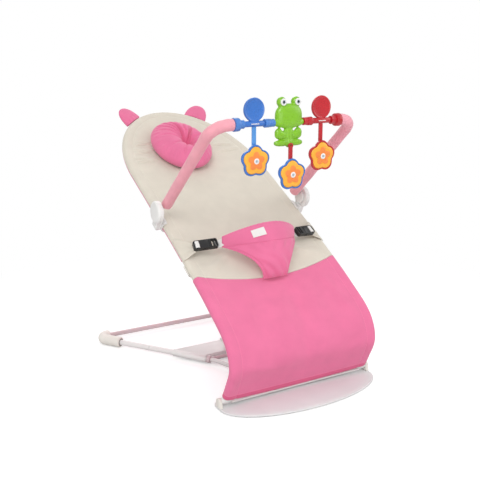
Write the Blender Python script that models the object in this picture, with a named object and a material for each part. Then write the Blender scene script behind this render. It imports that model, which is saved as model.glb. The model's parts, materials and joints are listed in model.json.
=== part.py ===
# Baby bouncer with a reclining fabric seat, a balance board and a toy arch.
# Metres, +Z up. The seat faces -Y, its head end points to +Y, and X = 0 is the middle.
# The floor is Z = 0 and Y = 0 is close above the hinge at the foot of the seat.

import math

import bmesh
import bpy
from mathutils import Matrix, Vector

for old in list(bpy.data.objects):
    bpy.data.objects.remove(old, do_unlink=True)

# Clearances, and how far a cutting tool runs past the piece that it cuts
GAP = 0.0003
RUN = 0.0008
WELD = 0.000001
OVERRUN = 0.002

# Width of the seat, from the middle plane to each side tube's centre line
SEAT_HALF = 0.184

# Balance board
BOARD_HALF = SEAT_HALF + 0.020
BOARD_NOSE = 0.088
BOARD_LINE_Y = -0.007
BOARD_TAIL_Y = 0.040
BOARD_CORNER = 0.026
BOARD_EDGE = 0.0045
BOARD_DOME = 0.0040
GRIP_THICK = 0.0015
GRIP_INSET = 0.003
GRIP_DRAFT = 0.0006
BOARD_UNDER = 0.0015
BOARD_SIDE = 0.0018
BOARD_ROLL = 0.0012
TAIL_FALL = 4.0
CROWN_POWER = 1.5
BOSS_IN = 0.022
BOSS_OUT = 0.024
BOSS_WALL = 0.0030
BOSS_FLOOR = 0.008

# Seat frame tube, side view from the foot hinge up to the straight back
TUBE_R = 0.008
TUBE_WALL = 0.0012
PIVOT_Y = 0.006
PIVOT_Z = 0.0195
SEAT_CURVE = [
    (PIVOT_Y, PIVOT_Z),
    (-0.012, 0.055),
    (-0.030, 0.103),
    (-0.012, 0.152),
    (0.067, 0.213),
    (0.230, 0.311),
    (0.400, 0.404),
]
BACK_SLOPE = math.radians(28)
HEAD_START = 0.090
HEAD_REACH = 0.270
TUBE_JOINT = 0.050
TUBE_FOOT = 0.0055

# Foot rail
RAIL_R = 0.0075
RAIL_HALF = SEAT_HALF + 0.0125
RAIL_PIN_R = 0.004
RAIL_PIN = 0.0055
RAIL_FIN = 0.0024
RAIL_FIN_TOP = 0.0034
COLLAR_R = 0.0100
COLLAR_TOP = 0.0110
COLLAR_SEAT = 0.0050
FIN_ROOT = 0.003
FIN_SPREAD = 0.004
FIN_SHORT = 0.009
CLIP_HALF = 0.0080
CLIP_SPREAD = 0.003
CLIP_CAP = 0.0020

# Fabric cover
CLOTH = 0.0018
COVER_FOOT = 0.0114
SEAM_Y = 0.136
SEAM_DIP = 0.028
SEAM_BLEND = 0.080
BACK_COVER_Y = 0.195
COVER_SAG = 0.008
COVER_DROP = 0.0085
COVER_BLEND = 0.060
LOWER_WRAP = -225.0
UPPER_WRAP = -2.0
BACK_WRAP = 4.0

# Ears and head pillow
EAR_X = SEAT_HALF - 0.089
EAR_WIDTH = 0.058
EAR_HEIGHT = 0.050
EAR_THICK = 0.013
EAR_TILT = math.radians(22)
EAR_LIFT = 0.0008
EAR_EDGE = 0.0035
EAR_BELLY = 0.72
EAR_ROUND = 0.85
PILLOW_X = -0.018
PILLOW_RX = 0.081
PILLOW_RY = 0.098
PILLOW_Y = 0.553
PILLOW_HIGH = 0.050
PILLOW_DIP = 0.020
PILLOW_SINK = 0.0044

# Base frame on the floor
FOOT_R = 0.0138
BASE_Z = FOOT_R
REAR_Y = 0.515
REAR_HALF = 0.298
REAR_BAR_R = 0.0060
SIDE_TUBE_R = 0.0070
ROD_R = 0.0052
BASE_WALL = 0.0012
SLEEVE_R = 0.0090
SLEEVE_REAR = (0.165, 0.322)
SLEEVE_FRONT = (0.108, 0.238)
ROD_LAP = 0.030
ROD_LEAD = 0.026
ROD_BEND_Y = 0.125
ROD_FRONT_X = 0.066
ELBOW_BEND = 0.018
ELBOW_BAR_LEG = 0.0037
ELBOW_SIDE_LEG = 0.0457
ELBOW_DEPTH = 0.012
CAP_LENGTH = 0.010
SIDE_TUBE_BEND = 0.090
ROD_BEND = 0.050

# Recline support
LEG_PIN_Y = 0.180
LEG_PIN_Z = 0.236
LEG_FOOT_Y = 0.280
LEG_FOOT_Z = 0.0335
LEG_R = 0.0045
LEG_HALF = 0.040
LEG_BEND = 0.014
CROSS_KNEE_X = 0.128
CROSS_R = 0.0060
BARREL_R = 0.0100
BARREL_LENGTH = 0.020
BRACKET_Y = 0.166
BRACKET_LENGTH = 0.028
BRACKET_WALL = 0.0045
BRACKET_EDGE = 8
BRACKET_STEP = 20
CROSS_BEND = 0.030
CROSS_TIP_IN = 0.004
CROSS_TIP_DOWN = 0.003
SOCKET_DEEP = 0.010
SOCKET_CAP = 0.007
SOCKET_WALL = 0.0032
GROOVE_REACH = 0.030
LEG_ROOT = 0.0015
NOTCH_STEP_DEG = 2.3
LEG_RATIO = 2.74
RACK_HALF = 0.030
RACK_TOP = LEG_FOOT_Z - LEG_R - GAP
NOTCH_HALF = 0.0025
NOTCH_DEEP = 0.0030
PLATE_TOP = 0.0220
PLATE_BOTTOM = 0.0070
PLATE_WALL = 0.0030
PLATE_SET = 0.008
PLATE_END = 0.006
RACK_LAND = 0.010
RACK_SLOPE = 0.004
RACK_ROOT = 0.004
RACK_SHOULDER = 0.003
SLEEVE_SET = 0.002
CROSS_BAR_R = 0.0045

# Toy arch
ARCH_PIVOT_Y = 0.294
ARCH_PIVOT_UP = 0.03857
ARCH_OFFSET = 0.012
ARCH_RISE = math.radians(139.1)
ARCH_LENGTH = 0.3215
ARCH_BEND = 0.040
ARCH_ROD_R = 0.0042
ARCH_TIP_BEND = 0.0075
FOAM_R = 0.0132
FOAM_FROM = 0.008
HUB_INNER = SEAT_HALF + 0.0125
HUB_THICK = 0.0050
HUB_R = 0.0165
HUB_HOLE = 0.0030
ARCH_HALF = HUB_INNER - 0.0145
AXLE_R = 0.0036
AXLE_LENGTH = 0.0080
DISC_INNER = HUB_INNER + HUB_THICK + 0.0005
DISC_THICK = 0.0130
DISC_R = 0.0270
DISC_EDGE = 0.0030
CLAMP_LENGTH = 0.030
CLAMP_STEP = 21.0
CLAMP_WALL = 0.0038
CLAMP_SHIFT = 0.012
BLOCK_INNER = SEAT_HALF + 0.0130
BLOCK_OUTER = DISC_INNER + 0.0080
BLOCK_HALF = 0.0120
BLOCK_LOW = -0.0080
BLOCK_TOP = 0.0148

# Toys on the arch
HUB_BORE = ARCH_ROD_R + RUN
TOY_HUB_R = 0.0064
CONNECT_BIG = 0.0145
CONNECT_SMALL = 0.0095
BLUE_X = 0.098 - ARCH_HALF
FROG_X = 0.003
RED_X = ARCH_HALF - 0.093
TOY_HUB_HALF = 0.0250
FROG_HALF = 0.0370
SPACER_GAP = 0.0005
SPACER_LENGTH = 0.0255
SPACER_STEP = 0.52
SPACER_DRAFT = 0.97
SPACER_NECK = 0.92
PADDLE_HALF = 0.0250
PADDLE_TALL = 0.0255
PADDLE_THICK = 0.0075
PADDLE_SEAT = 0.6
PADDLE_EDGE = 0.86
PADDLE_FLAT = 0.4
STEM_WIDTH = 0.0075
STEM_THICK = 0.0045
STEM_DROP = 0.0780
STEM_HEAD = 0.0062
STEM_EYE = 0.0060
FLOWER_R = 0.0350
FLOWER_LOBE = 0.20
FLOWER_RIM = 0.0040
FLOWER_DEPTH = 0.0070
FLOWER_BACK = 0.0028
FLOWER_PIN_R = 0.0028
FLOWER_PLAY = 0.0006
FLOWER_DRAFT = 0.0010
FLOWER_HEAD = 0.0018
FLOWER_HEAD_THICK = 0.0012
PETALS = 5
PETAL_GAP = 0.0004
PETAL_DRAFT = 0.0006
PETAL_PROUD = 0.0008
PETAL_CROWN = 0.0015
PETAL_MIDDLE = 0.28
PIN_ROOM = 0.0026
PIN_ROOM_DEEP = 0.0022
FROG_HEAD = (0.0340, 0.0135, 0.0275)
FROG_HEAD_Z = 0.0135
FROG_TORSO = (0.0125, 0.0085, 0.0260)
FROG_TORSO_Z = -0.0290
FROG_EYE = (0.0115, 0.0095, 0.0115)
FROG_EYE_X = 0.0185
FROG_EYE_Z = 0.0430
FROG_THIGH = (0.0160, 0.0070, 0.0100)
FROG_THIGH_X = 0.0185
FROG_THIGH_Z = -0.0290
FROG_FOOT = (0.0180, 0.0070, 0.0075)
FROG_FOOT_X = 0.0155
FROG_FOOT_Z = -0.0470
RATTLE_PIN_Z = -0.050
RATTLE_PIN_R = 0.0025
RATTLE_PIN_LENGTH = 0.0140
PIN_HEAD = 0.0020
PIN_HEAD_THICK = 0.0015
HEAD_TAPER = 0.75
RATTLE_DROP = 0.062
RATTLE_OUT = 0.0098

# Harness
PAD_HALF = 0.100
PAD_FOOT_HALF = 0.034
PAD_THICK = 0.006
PAD_BAND = 0.30
PAD_TOP = (0.125, 0.373)
PAD_WAIST = (0.098, 0.334)
PAD_BELLY = (0.080, 0.290)
PAD_FOOT = (0.092, 0.2475)
PAD_END_TOP = (0.176, 0.338)
PAD_END_LOW = (0.174, 0.312)
PAD_TURN = 2.0
BUCKLE_LENGTH = 0.058
BUCKLE_WIDTH = 0.024
BUCKLE_THICK = 0.010
BUCKLE_MOUTH = 0.022
BUCKLE_WALL = 0.0020
BUCKLE_PLAY = 0.0006
SOCKET_CHAMFER = 0.004
PLUG_CHAMFER = 0.003
WINDOW_FROM = 0.006
WINDOW_TO = 0.014
SLOT_ZONE = 0.0185
SLOT_WIDTH = 0.004
SLOT_EDGE = 0.0035
SOCKET_PITCH = 0.0080
PLUG_PITCH = 0.0070
PRONG_THICK = 0.003
PRONG_ROOT = 0.001
PRONG_HEAD = (0.0075, 0.0125)
PRONG_TIP = 0.0160
PRONG_SINK = 0.0002
TONGUE_HALF = 0.002
BUCKLE_IN = (0.1100, 0.176, 0.3240)
BUCKLE_OUT = (SEAT_HALF - 0.0160, 0.189, 0.3200)
STRAP_THICK = 0.0016
STRAP_WIDTH = 0.020
STRAP_LEAD = 0.0015
BAND_LOW_Y = 0.184
BAND_HIGH_Y = 0.243
BAND_GRIP = 0.009
BAND_INSET = 0.001
BAND_CREST = 0.004

# Corners of small and larger round sections, and steps along bends
ROUND = 10
FINE = 12
BEND_STEPS = 3
ARC_STEPS = 8
PANEL_STEPS = 6
PILLOW_SIDES = 20
HALVINGS = 40
STATION_ROOM = 0.004
PETAL_STEPS = 30
CURVE_STEPS = 2
CROWN_STEPS = 6
HEM_STEP = 45.0

# The cover's hem clears the corners of the faceted tube inside it
HEM_IN = TUBE_R / math.cos(math.radians(HEM_STEP / 2)) + GAP
HEM_OUT = HEM_IN + CLOTH


def finish(item, colour, roughness, metallic=0.0):
    """Give one object its own plain material."""
    material = bpy.data.materials.new(item.name)
    material.use_nodes = True
    shader = material.node_tree.nodes["Principled BSDF"]
    shader.inputs["Base Color"].default_value = (*colour, 1.0)
    shader.inputs["Roughness"].default_value = roughness
    shader.inputs["Metallic"].default_value = metallic
    material.diffuse_color = (*colour, 1.0)
    item.data.materials.clear()
    item.data.materials.append(material)


PINK_CLOTH = ((0.87, 0.18, 0.37), 0.85)
CREAM_CLOTH = ((0.67, 0.62, 0.52), 0.85)
PINK_FOAM = ((0.75, 0.26, 0.33), 0.6)
WHITE_PLASTIC = ((0.80, 0.80, 0.78), 0.35)
CREAM_PLASTIC = ((0.76, 0.74, 0.69), 0.4)
WHITE_STEEL = ((0.78, 0.77, 0.77), 0.35, 0.1)
PINK_STEEL = ((0.62, 0.50, 0.51), 0.4, 0.2)
DARK_RUBBER = ((0.05, 0.05, 0.05), 0.8)
BLACK_PLASTIC = ((0.01, 0.01, 0.012), 0.4)
BLUE = ((0.03, 0.18, 0.58), 0.3)
SKY = ((0.08, 0.30, 0.72), 0.3)
RED = ((0.55, 0.01, 0.02), 0.3)
GREEN = ((0.22, 0.52, 0.01), 0.3)
YELLOW = ((0.92, 0.37, 0.03), 0.35)
WHITE_WEB = ((0.75, 0.74, 0.72), 0.9)


def pivot(name, place, parent=None):
    """Add an empty on a joint's axis, for the pieces that turn about it."""
    empty = bpy.data.objects.new(name, None)
    bpy.context.scene.collection.objects.link(empty)
    empty.matrix_world = Matrix.Translation(place)
    if parent is not None:
        attach(empty, parent)
    return empty


def attach(item, parent):
    """Parent an object and keep it where it is."""
    bpy.context.view_layer.update()
    item.parent = parent
    item.matrix_parent_inverse = parent.matrix_world.inverted()


def solid(name, vertices, faces, sharp=40.0):
    """Make one object from points and faces, welded, with its faces outward."""
    mesh = bpy.data.meshes.new(name)
    mesh.from_pydata([tuple(v) for v in vertices], [], faces)
    shape = bmesh.new()
    shape.from_mesh(mesh)
    bmesh.ops.remove_doubles(shape, verts=shape.verts, dist=WELD)
    bmesh.ops.dissolve_degenerate(shape, dist=WELD, edges=shape.edges)
    bmesh.ops.recalc_face_normals(shape, faces=shape.faces)
    shape.to_mesh(mesh)
    shape.free()
    mesh.shade_smooth()
    mesh.set_sharp_from_angle(angle=math.radians(sharp))
    item = bpy.data.objects.new(name, mesh)
    bpy.context.scene.collection.objects.link(item)
    return item


def combine(base, tools, operation):
    """Apply exact Booleans of the tools to the base, and delete the tools."""
    for tool in tools:
        step = base.modifiers.new("step", "BOOLEAN")
        step.operation = operation
        step.solver = "EXACT"
        step.object = tool
        bpy.context.view_layer.update()
        seen = base.evaluated_get(bpy.context.evaluated_depsgraph_get())
        mesh = bpy.data.meshes.new_from_object(seen)
        base.modifiers.clear()
        base.data = mesh
        bpy.data.objects.remove(tool, do_unlink=True)
    base.data.name = base.name
    base.data.shade_smooth()
    base.data.set_sharp_from_angle(angle=math.radians(40.0))
    return base


def mirrored(item, name):
    """Copy an object to the other side of the middle plane."""
    points = [Vector((-v.co.x, v.co.y, v.co.z)) for v in item.data.vertices]
    faces = [list(reversed(p.vertices)) for p in item.data.polygons]
    return solid(name, points, faces)


def loft(name, loops, inner=None):
    """Skin closed loops of equal length, as a rod or, with inner loops, a pipe."""
    count = len(loops[0])
    rows = len(loops)
    vertices = [p for loop in loops for p in loop]
    faces = []

    def skin(start, flip):
        for row in range(rows - 1):
            for k in range(count):
                a = start + row * count + k
                b = start + row * count + (k + 1) % count
                quad = [a, b, b + count, a + count]
                faces.append(quad[::-1] if flip else quad)

    skin(0, False)
    last = (rows - 1) * count
    if inner is None:
        faces.append(list(range(count))[::-1])
        faces.append([last + k for k in range(count)])
        return solid(name, vertices, faces)
    start = len(vertices)
    vertices += [p for loop in inner for p in loop]
    skin(start, True)
    for row in (0, last):
        for k in range(count):
            other = (k + 1) % count
            faces.append([row + k, row + other, start + row + other, start + row + k])
    return solid(name, vertices, faces)


def ring(centre, side, up, radius, sides=ROUND):
    """Points of a circle in the plane of two directions."""
    turn = [2 * math.pi * k / sides for k in range(sides)]
    return [centre + side * (radius * math.cos(a)) + up * (radius * math.sin(a)) for a in turn]


def frames(path):
    """Tangent and two steady side directions at each point of a path."""
    path = [Vector(p) for p in path]
    ends = len(path) - 1
    tangents = []
    for k in range(len(path)):
        step = path[min(k + 1, ends)] - path[max(k - 1, 0)]
        tangents.append(step.normalized())
    start = Vector((0, 0, 1))
    if abs(tangents[0].dot(start)) > 0.9:
        start = Vector((1, 0, 0))
    side = tangents[0].cross(start).normalized()
    result = []
    for k, tangent in enumerate(tangents):
        side = (side - tangent * side.dot(tangent)).normalized()
        result.append((path[k], tangent, side, tangent.cross(side)))
    return result


def pipe(name, path, radius, bore=None, sides=ROUND):
    """A rod or a pipe along a path."""
    places = frames(path)
    outer = [ring(p, s, u, radius, sides) for p, t, s, u in places]
    if bore is None:
        return loft(name, outer)
    return loft(name, outer, [ring(p, s, u, bore, sides) for p, t, s, u in places])


def rounded(points, radius, steps=5):
    """A path through points whose corners are arcs of one radius."""
    points = [Vector(p) for p in points]
    path = [points[0]]
    for before, corner, after in zip(points, points[1:], points[2:]):
        a = (before - corner).normalized()
        b = (after - corner).normalized()
        half = a.angle(b) / 2
        reach = radius / math.tan(half)
        centre = corner + (a + b).normalized() * (radius / math.sin(half))
        first = corner + a * reach - centre
        last = corner + b * reach - centre
        along = (last - first * (last.dot(first) / radius ** 2)).normalized() * radius
        for k in range(steps + 1):
            turn = (math.pi - 2 * half) * k / steps
            path.append(centre + first * math.cos(turn) + along * math.sin(turn))
    path.append(points[-1])
    return path


def prism(name, outline, place, low, high):
    """Extrude a flat outline; place(u, v, w) puts its points in space."""
    loops = [[place(u, v, low) for u, v in outline], [place(u, v, high) for u, v in outline]]
    return loft(name, loops)


def turned(name, profile, centre, axis, side, sides=FINE):
    """Turn a closed profile of (along, radius) points about an axis."""
    axis = axis.normalized()
    side = side.normalized()
    up = axis.cross(side)
    loops = []
    for k in range(sides):
        turn = 2 * math.pi * k / sides
        out = side * math.cos(turn) + up * math.sin(turn)
        loops.append([centre + axis * a + out * r for a, r in profile])
    count = len(profile)
    vertices = [p for loop in loops for p in loop]
    faces = []
    for k in range(sides):
        row = k * count
        following = ((k + 1) % sides) * count
        for j in range(count):
            other = (j + 1) % count
            faces.append([row + j, row + other, following + other, following + j])
    return solid(name, vertices, faces)


def sheet(name, outer, inner, close_end=True):
    """A panel between two grids of points, closed along its edges."""
    rows = len(outer)
    count = len(outer[0])
    vertices = [p for row in outer for p in row] + [p for row in inner for p in row]
    under = rows * count
    faces = []
    for i in range(rows - 1):
        for j in range(count - 1):
            a = i * count + j
            faces.append([a, a + 1, a + count + 1, a + count])
            faces.append([under + a + count, under + a + count + 1, under + a + 1, under + a])
        for j in (0, count - 1):
            a = i * count + j
            faces.append([a, a + count, under + a + count, under + a])
    ends = [0, (rows - 1) * count] if close_end else [0]
    for start in ends:
        for j in range(count - 1):
            a = start + j
            faces.append([a, a + 1, under + a + 1, under + a])
    return solid(name, vertices, faces)


def smooth_curve(points, steps):
    """Centripetal Catmull-Rom curve through points, the ends carried on straight."""
    points = [Vector(p) for p in points]
    padded = [points[0] * 2 - points[1]] + points + [points[-1] * 2 - points[-2]]
    curve = []
    for p0, p1, p2, p3 in zip(padded, padded[1:], padded[2:], padded[3:]):
        t1 = math.sqrt((p1 - p0).length)
        t2 = t1 + math.sqrt((p2 - p1).length)
        t3 = t2 + math.sqrt((p3 - p2).length)
        for k in range(steps):
            t = t1 + (t2 - t1) * k / steps
            a1 = p0 * ((t1 - t) / t1) + p1 * (t / t1)
            a2 = p1 * ((t2 - t) / (t2 - t1)) + p2 * ((t - t1) / (t2 - t1))
            a3 = p2 * ((t3 - t) / (t3 - t2)) + p3 * ((t - t2) / (t3 - t2))
            b1 = a1 * ((t2 - t) / t2) + a2 * (t / t2)
            b2 = a2 * ((t3 - t) / (t3 - t1)) + a3 * ((t - t1) / (t3 - t1))
            curve.append(b1 * ((t2 - t) / (t2 - t1)) + b2 * ((t - t1) / (t2 - t1)))
    curve.append(points[-1])
    return curve


BACK_DIRECTION = Vector((0, math.cos(BACK_SLOPE), math.sin(BACK_SLOPE)))
BACK_NORMAL = Vector((0, -math.sin(BACK_SLOPE), math.cos(BACK_SLOPE)))
BACK_START = Vector((0, *SEAT_CURVE[-1]))


def on_back(x, along, off=0.0):
    """A point on the flat back of the seat, along it and off its tube plane."""
    return BACK_START + Vector((x, 0, 0)) + BACK_DIRECTION * along + BACK_NORMAL * off


def seat_stations():
    """Stations of the right half of the seat tube, from the hinge to the crown.

    Each holds the tube's centre, its direction, the seat's upward normal and the
    direction out of the seat's edge.
    """
    side = smooth_curve([(SEAT_HALF, y, z) for y, z in SEAT_CURVE], CURVE_STEPS)
    centres = list(side)
    centres.append(on_back(SEAT_HALF, HEAD_START / 2))
    for k in range(CROWN_STEPS + 1):
        turn = math.pi / 2 * k / CROWN_STEPS
        along = HEAD_START + HEAD_REACH * math.sin(turn)
        centres.append(on_back(SEAT_HALF * math.cos(turn), along))
    stations = []
    last = len(centres) - 1
    for k, centre in enumerate(centres):
        tangent = (centres[min(k + 1, last)] - centres[max(k - 1, 0)]).normalized()
        if k == last:
            tangent = Vector((-1, 0, 0))
        flat = Vector((0, tangent.y, tangent.z))
        normal = BACK_NORMAL
        if k < len(side) - 1:
            normal = Vector((0, -flat.z, flat.y)).normalized()
        stations.append((centre, tangent, normal, tangent.cross(normal)))
    return stations


STATIONS = seat_stations()
LENGTHS = [0.0]
for here, there in zip(STATIONS, STATIONS[1:]):
    LENGTHS.append(LENGTHS[-1] + (there[0] - here[0]).length)


def station_at(distance):
    """The station at a distance along the tube from the hinge."""
    for k in range(len(LENGTHS) - 1):
        if distance <= LENGTHS[k + 1]:
            part = (distance - LENGTHS[k]) / (LENGTHS[k + 1] - LENGTHS[k])
            here, there = STATIONS[k], STATIONS[k + 1]
            centre = here[0].lerp(there[0], part)
            tangent = here[1].lerp(there[1], part).normalized()
            normal = here[2].lerp(there[2], part).normalized()
            return (centre, tangent, normal, tangent.cross(normal))
    return STATIONS[-1]


def stations_between(start, end):
    """Stations of a stretch of the tube, with its two ends."""
    inside = [s for s, d in zip(STATIONS, LENGTHS) if start + STATION_ROOM < d < end - STATION_ROOM]
    return [station_at(start)] + inside + [station_at(end)]


def distance_at_y(y):
    """Distance along the tube where its upper run reaches a depth y."""
    low, high = LENGTHS[3 * CURVE_STEPS], LENGTHS[-1]
    for _ in range(HALVINGS):
        middle = (low + high) / 2
        if station_at(middle)[0].y < y:
            low = middle
        else:
            high = middle
    return low


CROWN = LENGTHS[-1]
HEAD_JOINT = distance_at_y(on_back(0, TUBE_JOINT).y)
SEAM_AT = distance_at_y(SEAM_Y)


def flip_x(point):
    """The same point on the left side."""
    return Vector((-point.x, point.y, point.z))


def around(station, radius, degrees, under=False):
    """A point round the seat tube: 0 is outward and 90 is up from the seat."""
    centre, tangent, normal, outward = station
    turn = math.radians(degrees)
    lift = -1 if under else 1
    return centre + outward * (radius * math.cos(turn)) + normal * (lift * radius * math.sin(turn))


# Seat frame


def seat_tubes():
    """The seat's bent tube: two sides, and a head hoop that joins them."""
    def stretch(places):
        outer = [[around(s, TUBE_R, 360 * k / ROUND) for k in range(ROUND)] for s in places]
        bore = TUBE_R - TUBE_WALL
        inner = [[around(s, bore, 360 * k / ROUND) for k in range(ROUND)] for s in places]
        return outer, inner

    outer, inner = stretch(stations_between(TUBE_FOOT, HEAD_JOINT - GAP / 2))
    right = loft("seat_tube_right", outer, inner)
    left = mirrored(right, "seat_tube_left")
    outer, inner = stretch(stations_between(HEAD_JOINT + GAP / 2, CROWN))
    outer += [[flip_x(p) for p in loop] for loop in outer[-2::-1]]
    inner += [[flip_x(p) for p in loop] for loop in inner[-2::-1]]
    head = loft("head_tube", outer, inner)
    for tube in (right, left, head):
        finish(tube, *WHITE_STEEL)
    return [right, left, head]


def foot_rail():
    """The rail that holds the two tube ends, clamps the cover's foot and turns on its pins."""
    centre = Vector((0, PIVOT_Y, PIVOT_Z))
    across = Vector((1, 0, 0))
    foot = STATIONS[0]
    rail = pipe("foot_rail", [centre - across * RAIL_HALF, centre + across * RAIL_HALF], RAIL_R)
    pin_end = RAIL_HALF + RAIL_PIN
    tools = [pipe("pins", [centre - across * pin_end, centre + across * pin_end], RAIL_PIN_R)]
    fin = [
        (FIN_ROOT, -FIN_ROOT),
        (HEM_OUT, 0.0),
        (HEM_OUT, RAIL_FIN_TOP),
        (HEM_OUT - RAIL_FIN, RAIL_FIN_TOP),
        (FIN_ROOT, FIN_SPREAD),
    ]
    tools.append(
        prism(
            "fin",
            fin,
            lambda n, t, x: centre + foot[2] * n + foot[1] * t + across * x,
            FIN_SHORT - SEAT_HALF,
            SEAT_HALF - FIN_SHORT,
        )
    )
    bores = []
    for side in (-1, 1):
        base = centre + across * (side * SEAT_HALF)
        tools.append(pipe("collar", [base, base + foot[1] * COLLAR_TOP], COLLAR_R))
        mouth = base + foot[1] * (COLLAR_TOP + OVERRUN)
        bores.append(pipe("bore", [base + foot[1] * COLLAR_SEAT, mouth], TUBE_R + GAP))
    combine(rail, tools, "UNION")
    combine(rail, bores, "DIFFERENCE")
    finish(rail, *WHITE_PLASTIC)
    return rail


def cross_tube():
    """The bowed tube under the seat that the support leg hangs on."""
    end = station_at(distance_at_y(BRACKET_Y))
    inward = end[3] * (TUBE_R + BRACKET_WALL + CROSS_TIP_IN)
    tip = end[0] - inward - end[2] * (TUBE_R + CROSS_TIP_DOWN)
    knee = Vector((CROSS_KNEE_X, LEG_PIN_Y, LEG_PIN_Z))
    half = rounded([tip, knee, Vector((0, LEG_PIN_Y, LEG_PIN_Z))], CROSS_BEND, BEND_STEPS)[:-1]
    path = [flip_x(p) for p in half] + half[::-1]
    tube = pipe("cross_tube", path, CROSS_R, CROSS_R - TUBE_WALL)
    finish(tube, *WHITE_STEEL)
    return tube, tip


def leg_brackets(tip):
    """Saddles that hug the underside of the side tubes and hold the cross tube's ends."""
    middle = distance_at_y(BRACKET_Y)
    near = TUBE_R + GAP
    far = near + BRACKET_WALL
    low = BRACKET_EDGE - 180
    arc = [(near, a) for a in range(-BRACKET_EDGE, low, -BRACKET_STEP)] + [(near, low)]
    back = [(far, a) for a in range(low, 0, BRACKET_STEP)] + [(far, -BRACKET_EDGE)]
    section = arc + back
    loops = []
    for k in range(3):
        station = station_at(middle + (k - 1) * BRACKET_LENGTH / 2)
        loops.append([around(station, r, a) for r, a in section])
    saddle = loft("leg_bracket_right", loops)
    knee = Vector((CROSS_KNEE_X, LEG_PIN_Y, LEG_PIN_Z))
    along = (tip - knee).normalized()
    root = tip - along * SOCKET_DEEP
    socket = pipe("socket", [root, tip + along * SOCKET_CAP], CROSS_R + SOCKET_WALL)
    combine(saddle, [socket], "UNION")
    groove = [station_at(middle + d)[0] for d in (-GROOVE_REACH, 0, GROOVE_REACH)]
    cutters = [
        pipe("bore", [root - along * OVERRUN, tip + along * GAP], CROSS_R + GAP),
        pipe("groove", groove, near, sides=16),
    ]
    combine(saddle, cutters, "DIFFERENCE")
    finish(saddle, *CREAM_PLASTIC)
    left = mirrored(saddle, "leg_bracket_left")
    finish(left, *CREAM_PLASTIC)
    return [saddle, left]


# Fabric cover


def hem_angles(wrap):
    """Angles of a hem's corners round the tube, from its free edge to the panel."""
    steps = max(3, round((90 - wrap) / HEM_STEP))
    return [wrap + (90 - wrap) * k / steps for k in range(steps + 1)]


def above_foot(station):
    """0 at the foot hinge and 1 from a short way above it."""
    return min(1.0, (station[0].z - PIVOT_Z) / COVER_BLEND)


def cover_rows(places, wrap, under, radius, shift):
    """Rows of points of a cover panel: edge hem, panel and the other hem."""
    rows = []
    for station in places:
        edge = [around(station, radius, a, under) for a in hem_angles(wrap)]
        top = edge[-1]
        width = top.x
        panel = []
        for k in range(1, PANEL_STEPS):
            across = 1 - 2 * k / PANEL_STEPS
            bow = 1 - across * across
            narrow = min(1.0, width / SEAT_HALF) ** 2
            sag = station[2] * (COVER_SAG * bow * above_foot(station) * narrow)
            slide = Vector((0, station[1].y, station[1].z)) * (shift(station) * bow)
            panel.append(Vector((top.x * across, top.y, top.z)) - sag - slide)
        rows.append(edge + panel + [flip_x(p) for p in edge[::-1]])
    return rows


def seam_shift(station):
    """How far the panel's middle dips to the foot, most at the seam of the two colours."""
    drop = COVER_DROP * (1 - above_foot(station))
    away = abs(station[0].y - SEAM_Y) / SEAM_BLEND
    if away >= 1 or drop > 0:
        return drop
    return SEAM_DIP * (1 - away) ** 2 * (1 + 2 * away)


def cover():
    """The three panels of the fitted cover, hemmed round the seat tube."""
    def panel(name, places, wrap, under, close_end, shift, colour):
        outer = cover_rows(places, wrap, under, HEM_OUT, shift)
        inner = cover_rows(places, wrap, under, HEM_IN, shift)
        item = sheet(name, outer, inner, close_end)
        finish(item, *colour)
        return item

    def no_shift(station):
        return 0.0

    lower = stations_between(COVER_FOOT, SEAM_AT - GAP / 2)
    upper = stations_between(SEAM_AT + GAP / 2, CROWN)
    back = stations_between(distance_at_y(BACK_COVER_Y), CROWN)
    return [
        panel("cover_lower", lower, LOWER_WRAP, False, True, seam_shift, PINK_CLOTH),
        panel("cover_upper", upper, UPPER_WRAP, False, False, seam_shift, CREAM_CLOTH),
        panel("cover_back", back, BACK_WRAP, True, False, no_shift, PINK_CLOTH),
    ]


def ears():
    """Two flat padded ears on the rim of the head end."""
    rim_x = SEAT_HALF + HEM_OUT
    rim_reach = HEAD_REACH + HEM_OUT
    rise = rim_reach * math.sqrt(1 - (EAR_X / rim_x) ** 2)
    slope = Vector((EAR_X / rim_x ** 2, rise / rim_reach ** 2)).normalized()
    base = on_back(EAR_X, HEAD_START + rise)
    flat = Vector((slope.x, 0, 0)) + BACK_DIRECTION * slope.y
    along = flat.cross(BACK_NORMAL)
    base += flat * EAR_LIFT
    away = flat * math.cos(EAR_TILT) + BACK_NORMAL * math.sin(EAR_TILT)
    face = BACK_NORMAL * math.cos(EAR_TILT) - flat * math.sin(EAR_TILT)
    loops = []
    steps = 14
    for layer in (-1.0, -EAR_BELLY, EAR_BELLY, 1.0):
        inset = 0.0 if abs(layer) < 1 else EAR_EDGE
        loop = []
        for k in range(steps + 1):
            turn = math.pi * k / steps
            u = (EAR_WIDTH / 2 - inset) * math.cos(turn)
            v = (EAR_HEIGHT - inset) * math.sin(turn) ** EAR_ROUND + GAP
            loop.append(base + along * u + away * v + face * (layer * EAR_THICK / 2))
        loops.append(loop)
    right = loft("ear_right", loops)
    left = mirrored(right, "ear_left")
    finish(right, *PINK_CLOTH)
    finish(left, *PINK_CLOTH)
    return [right, left]


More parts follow.
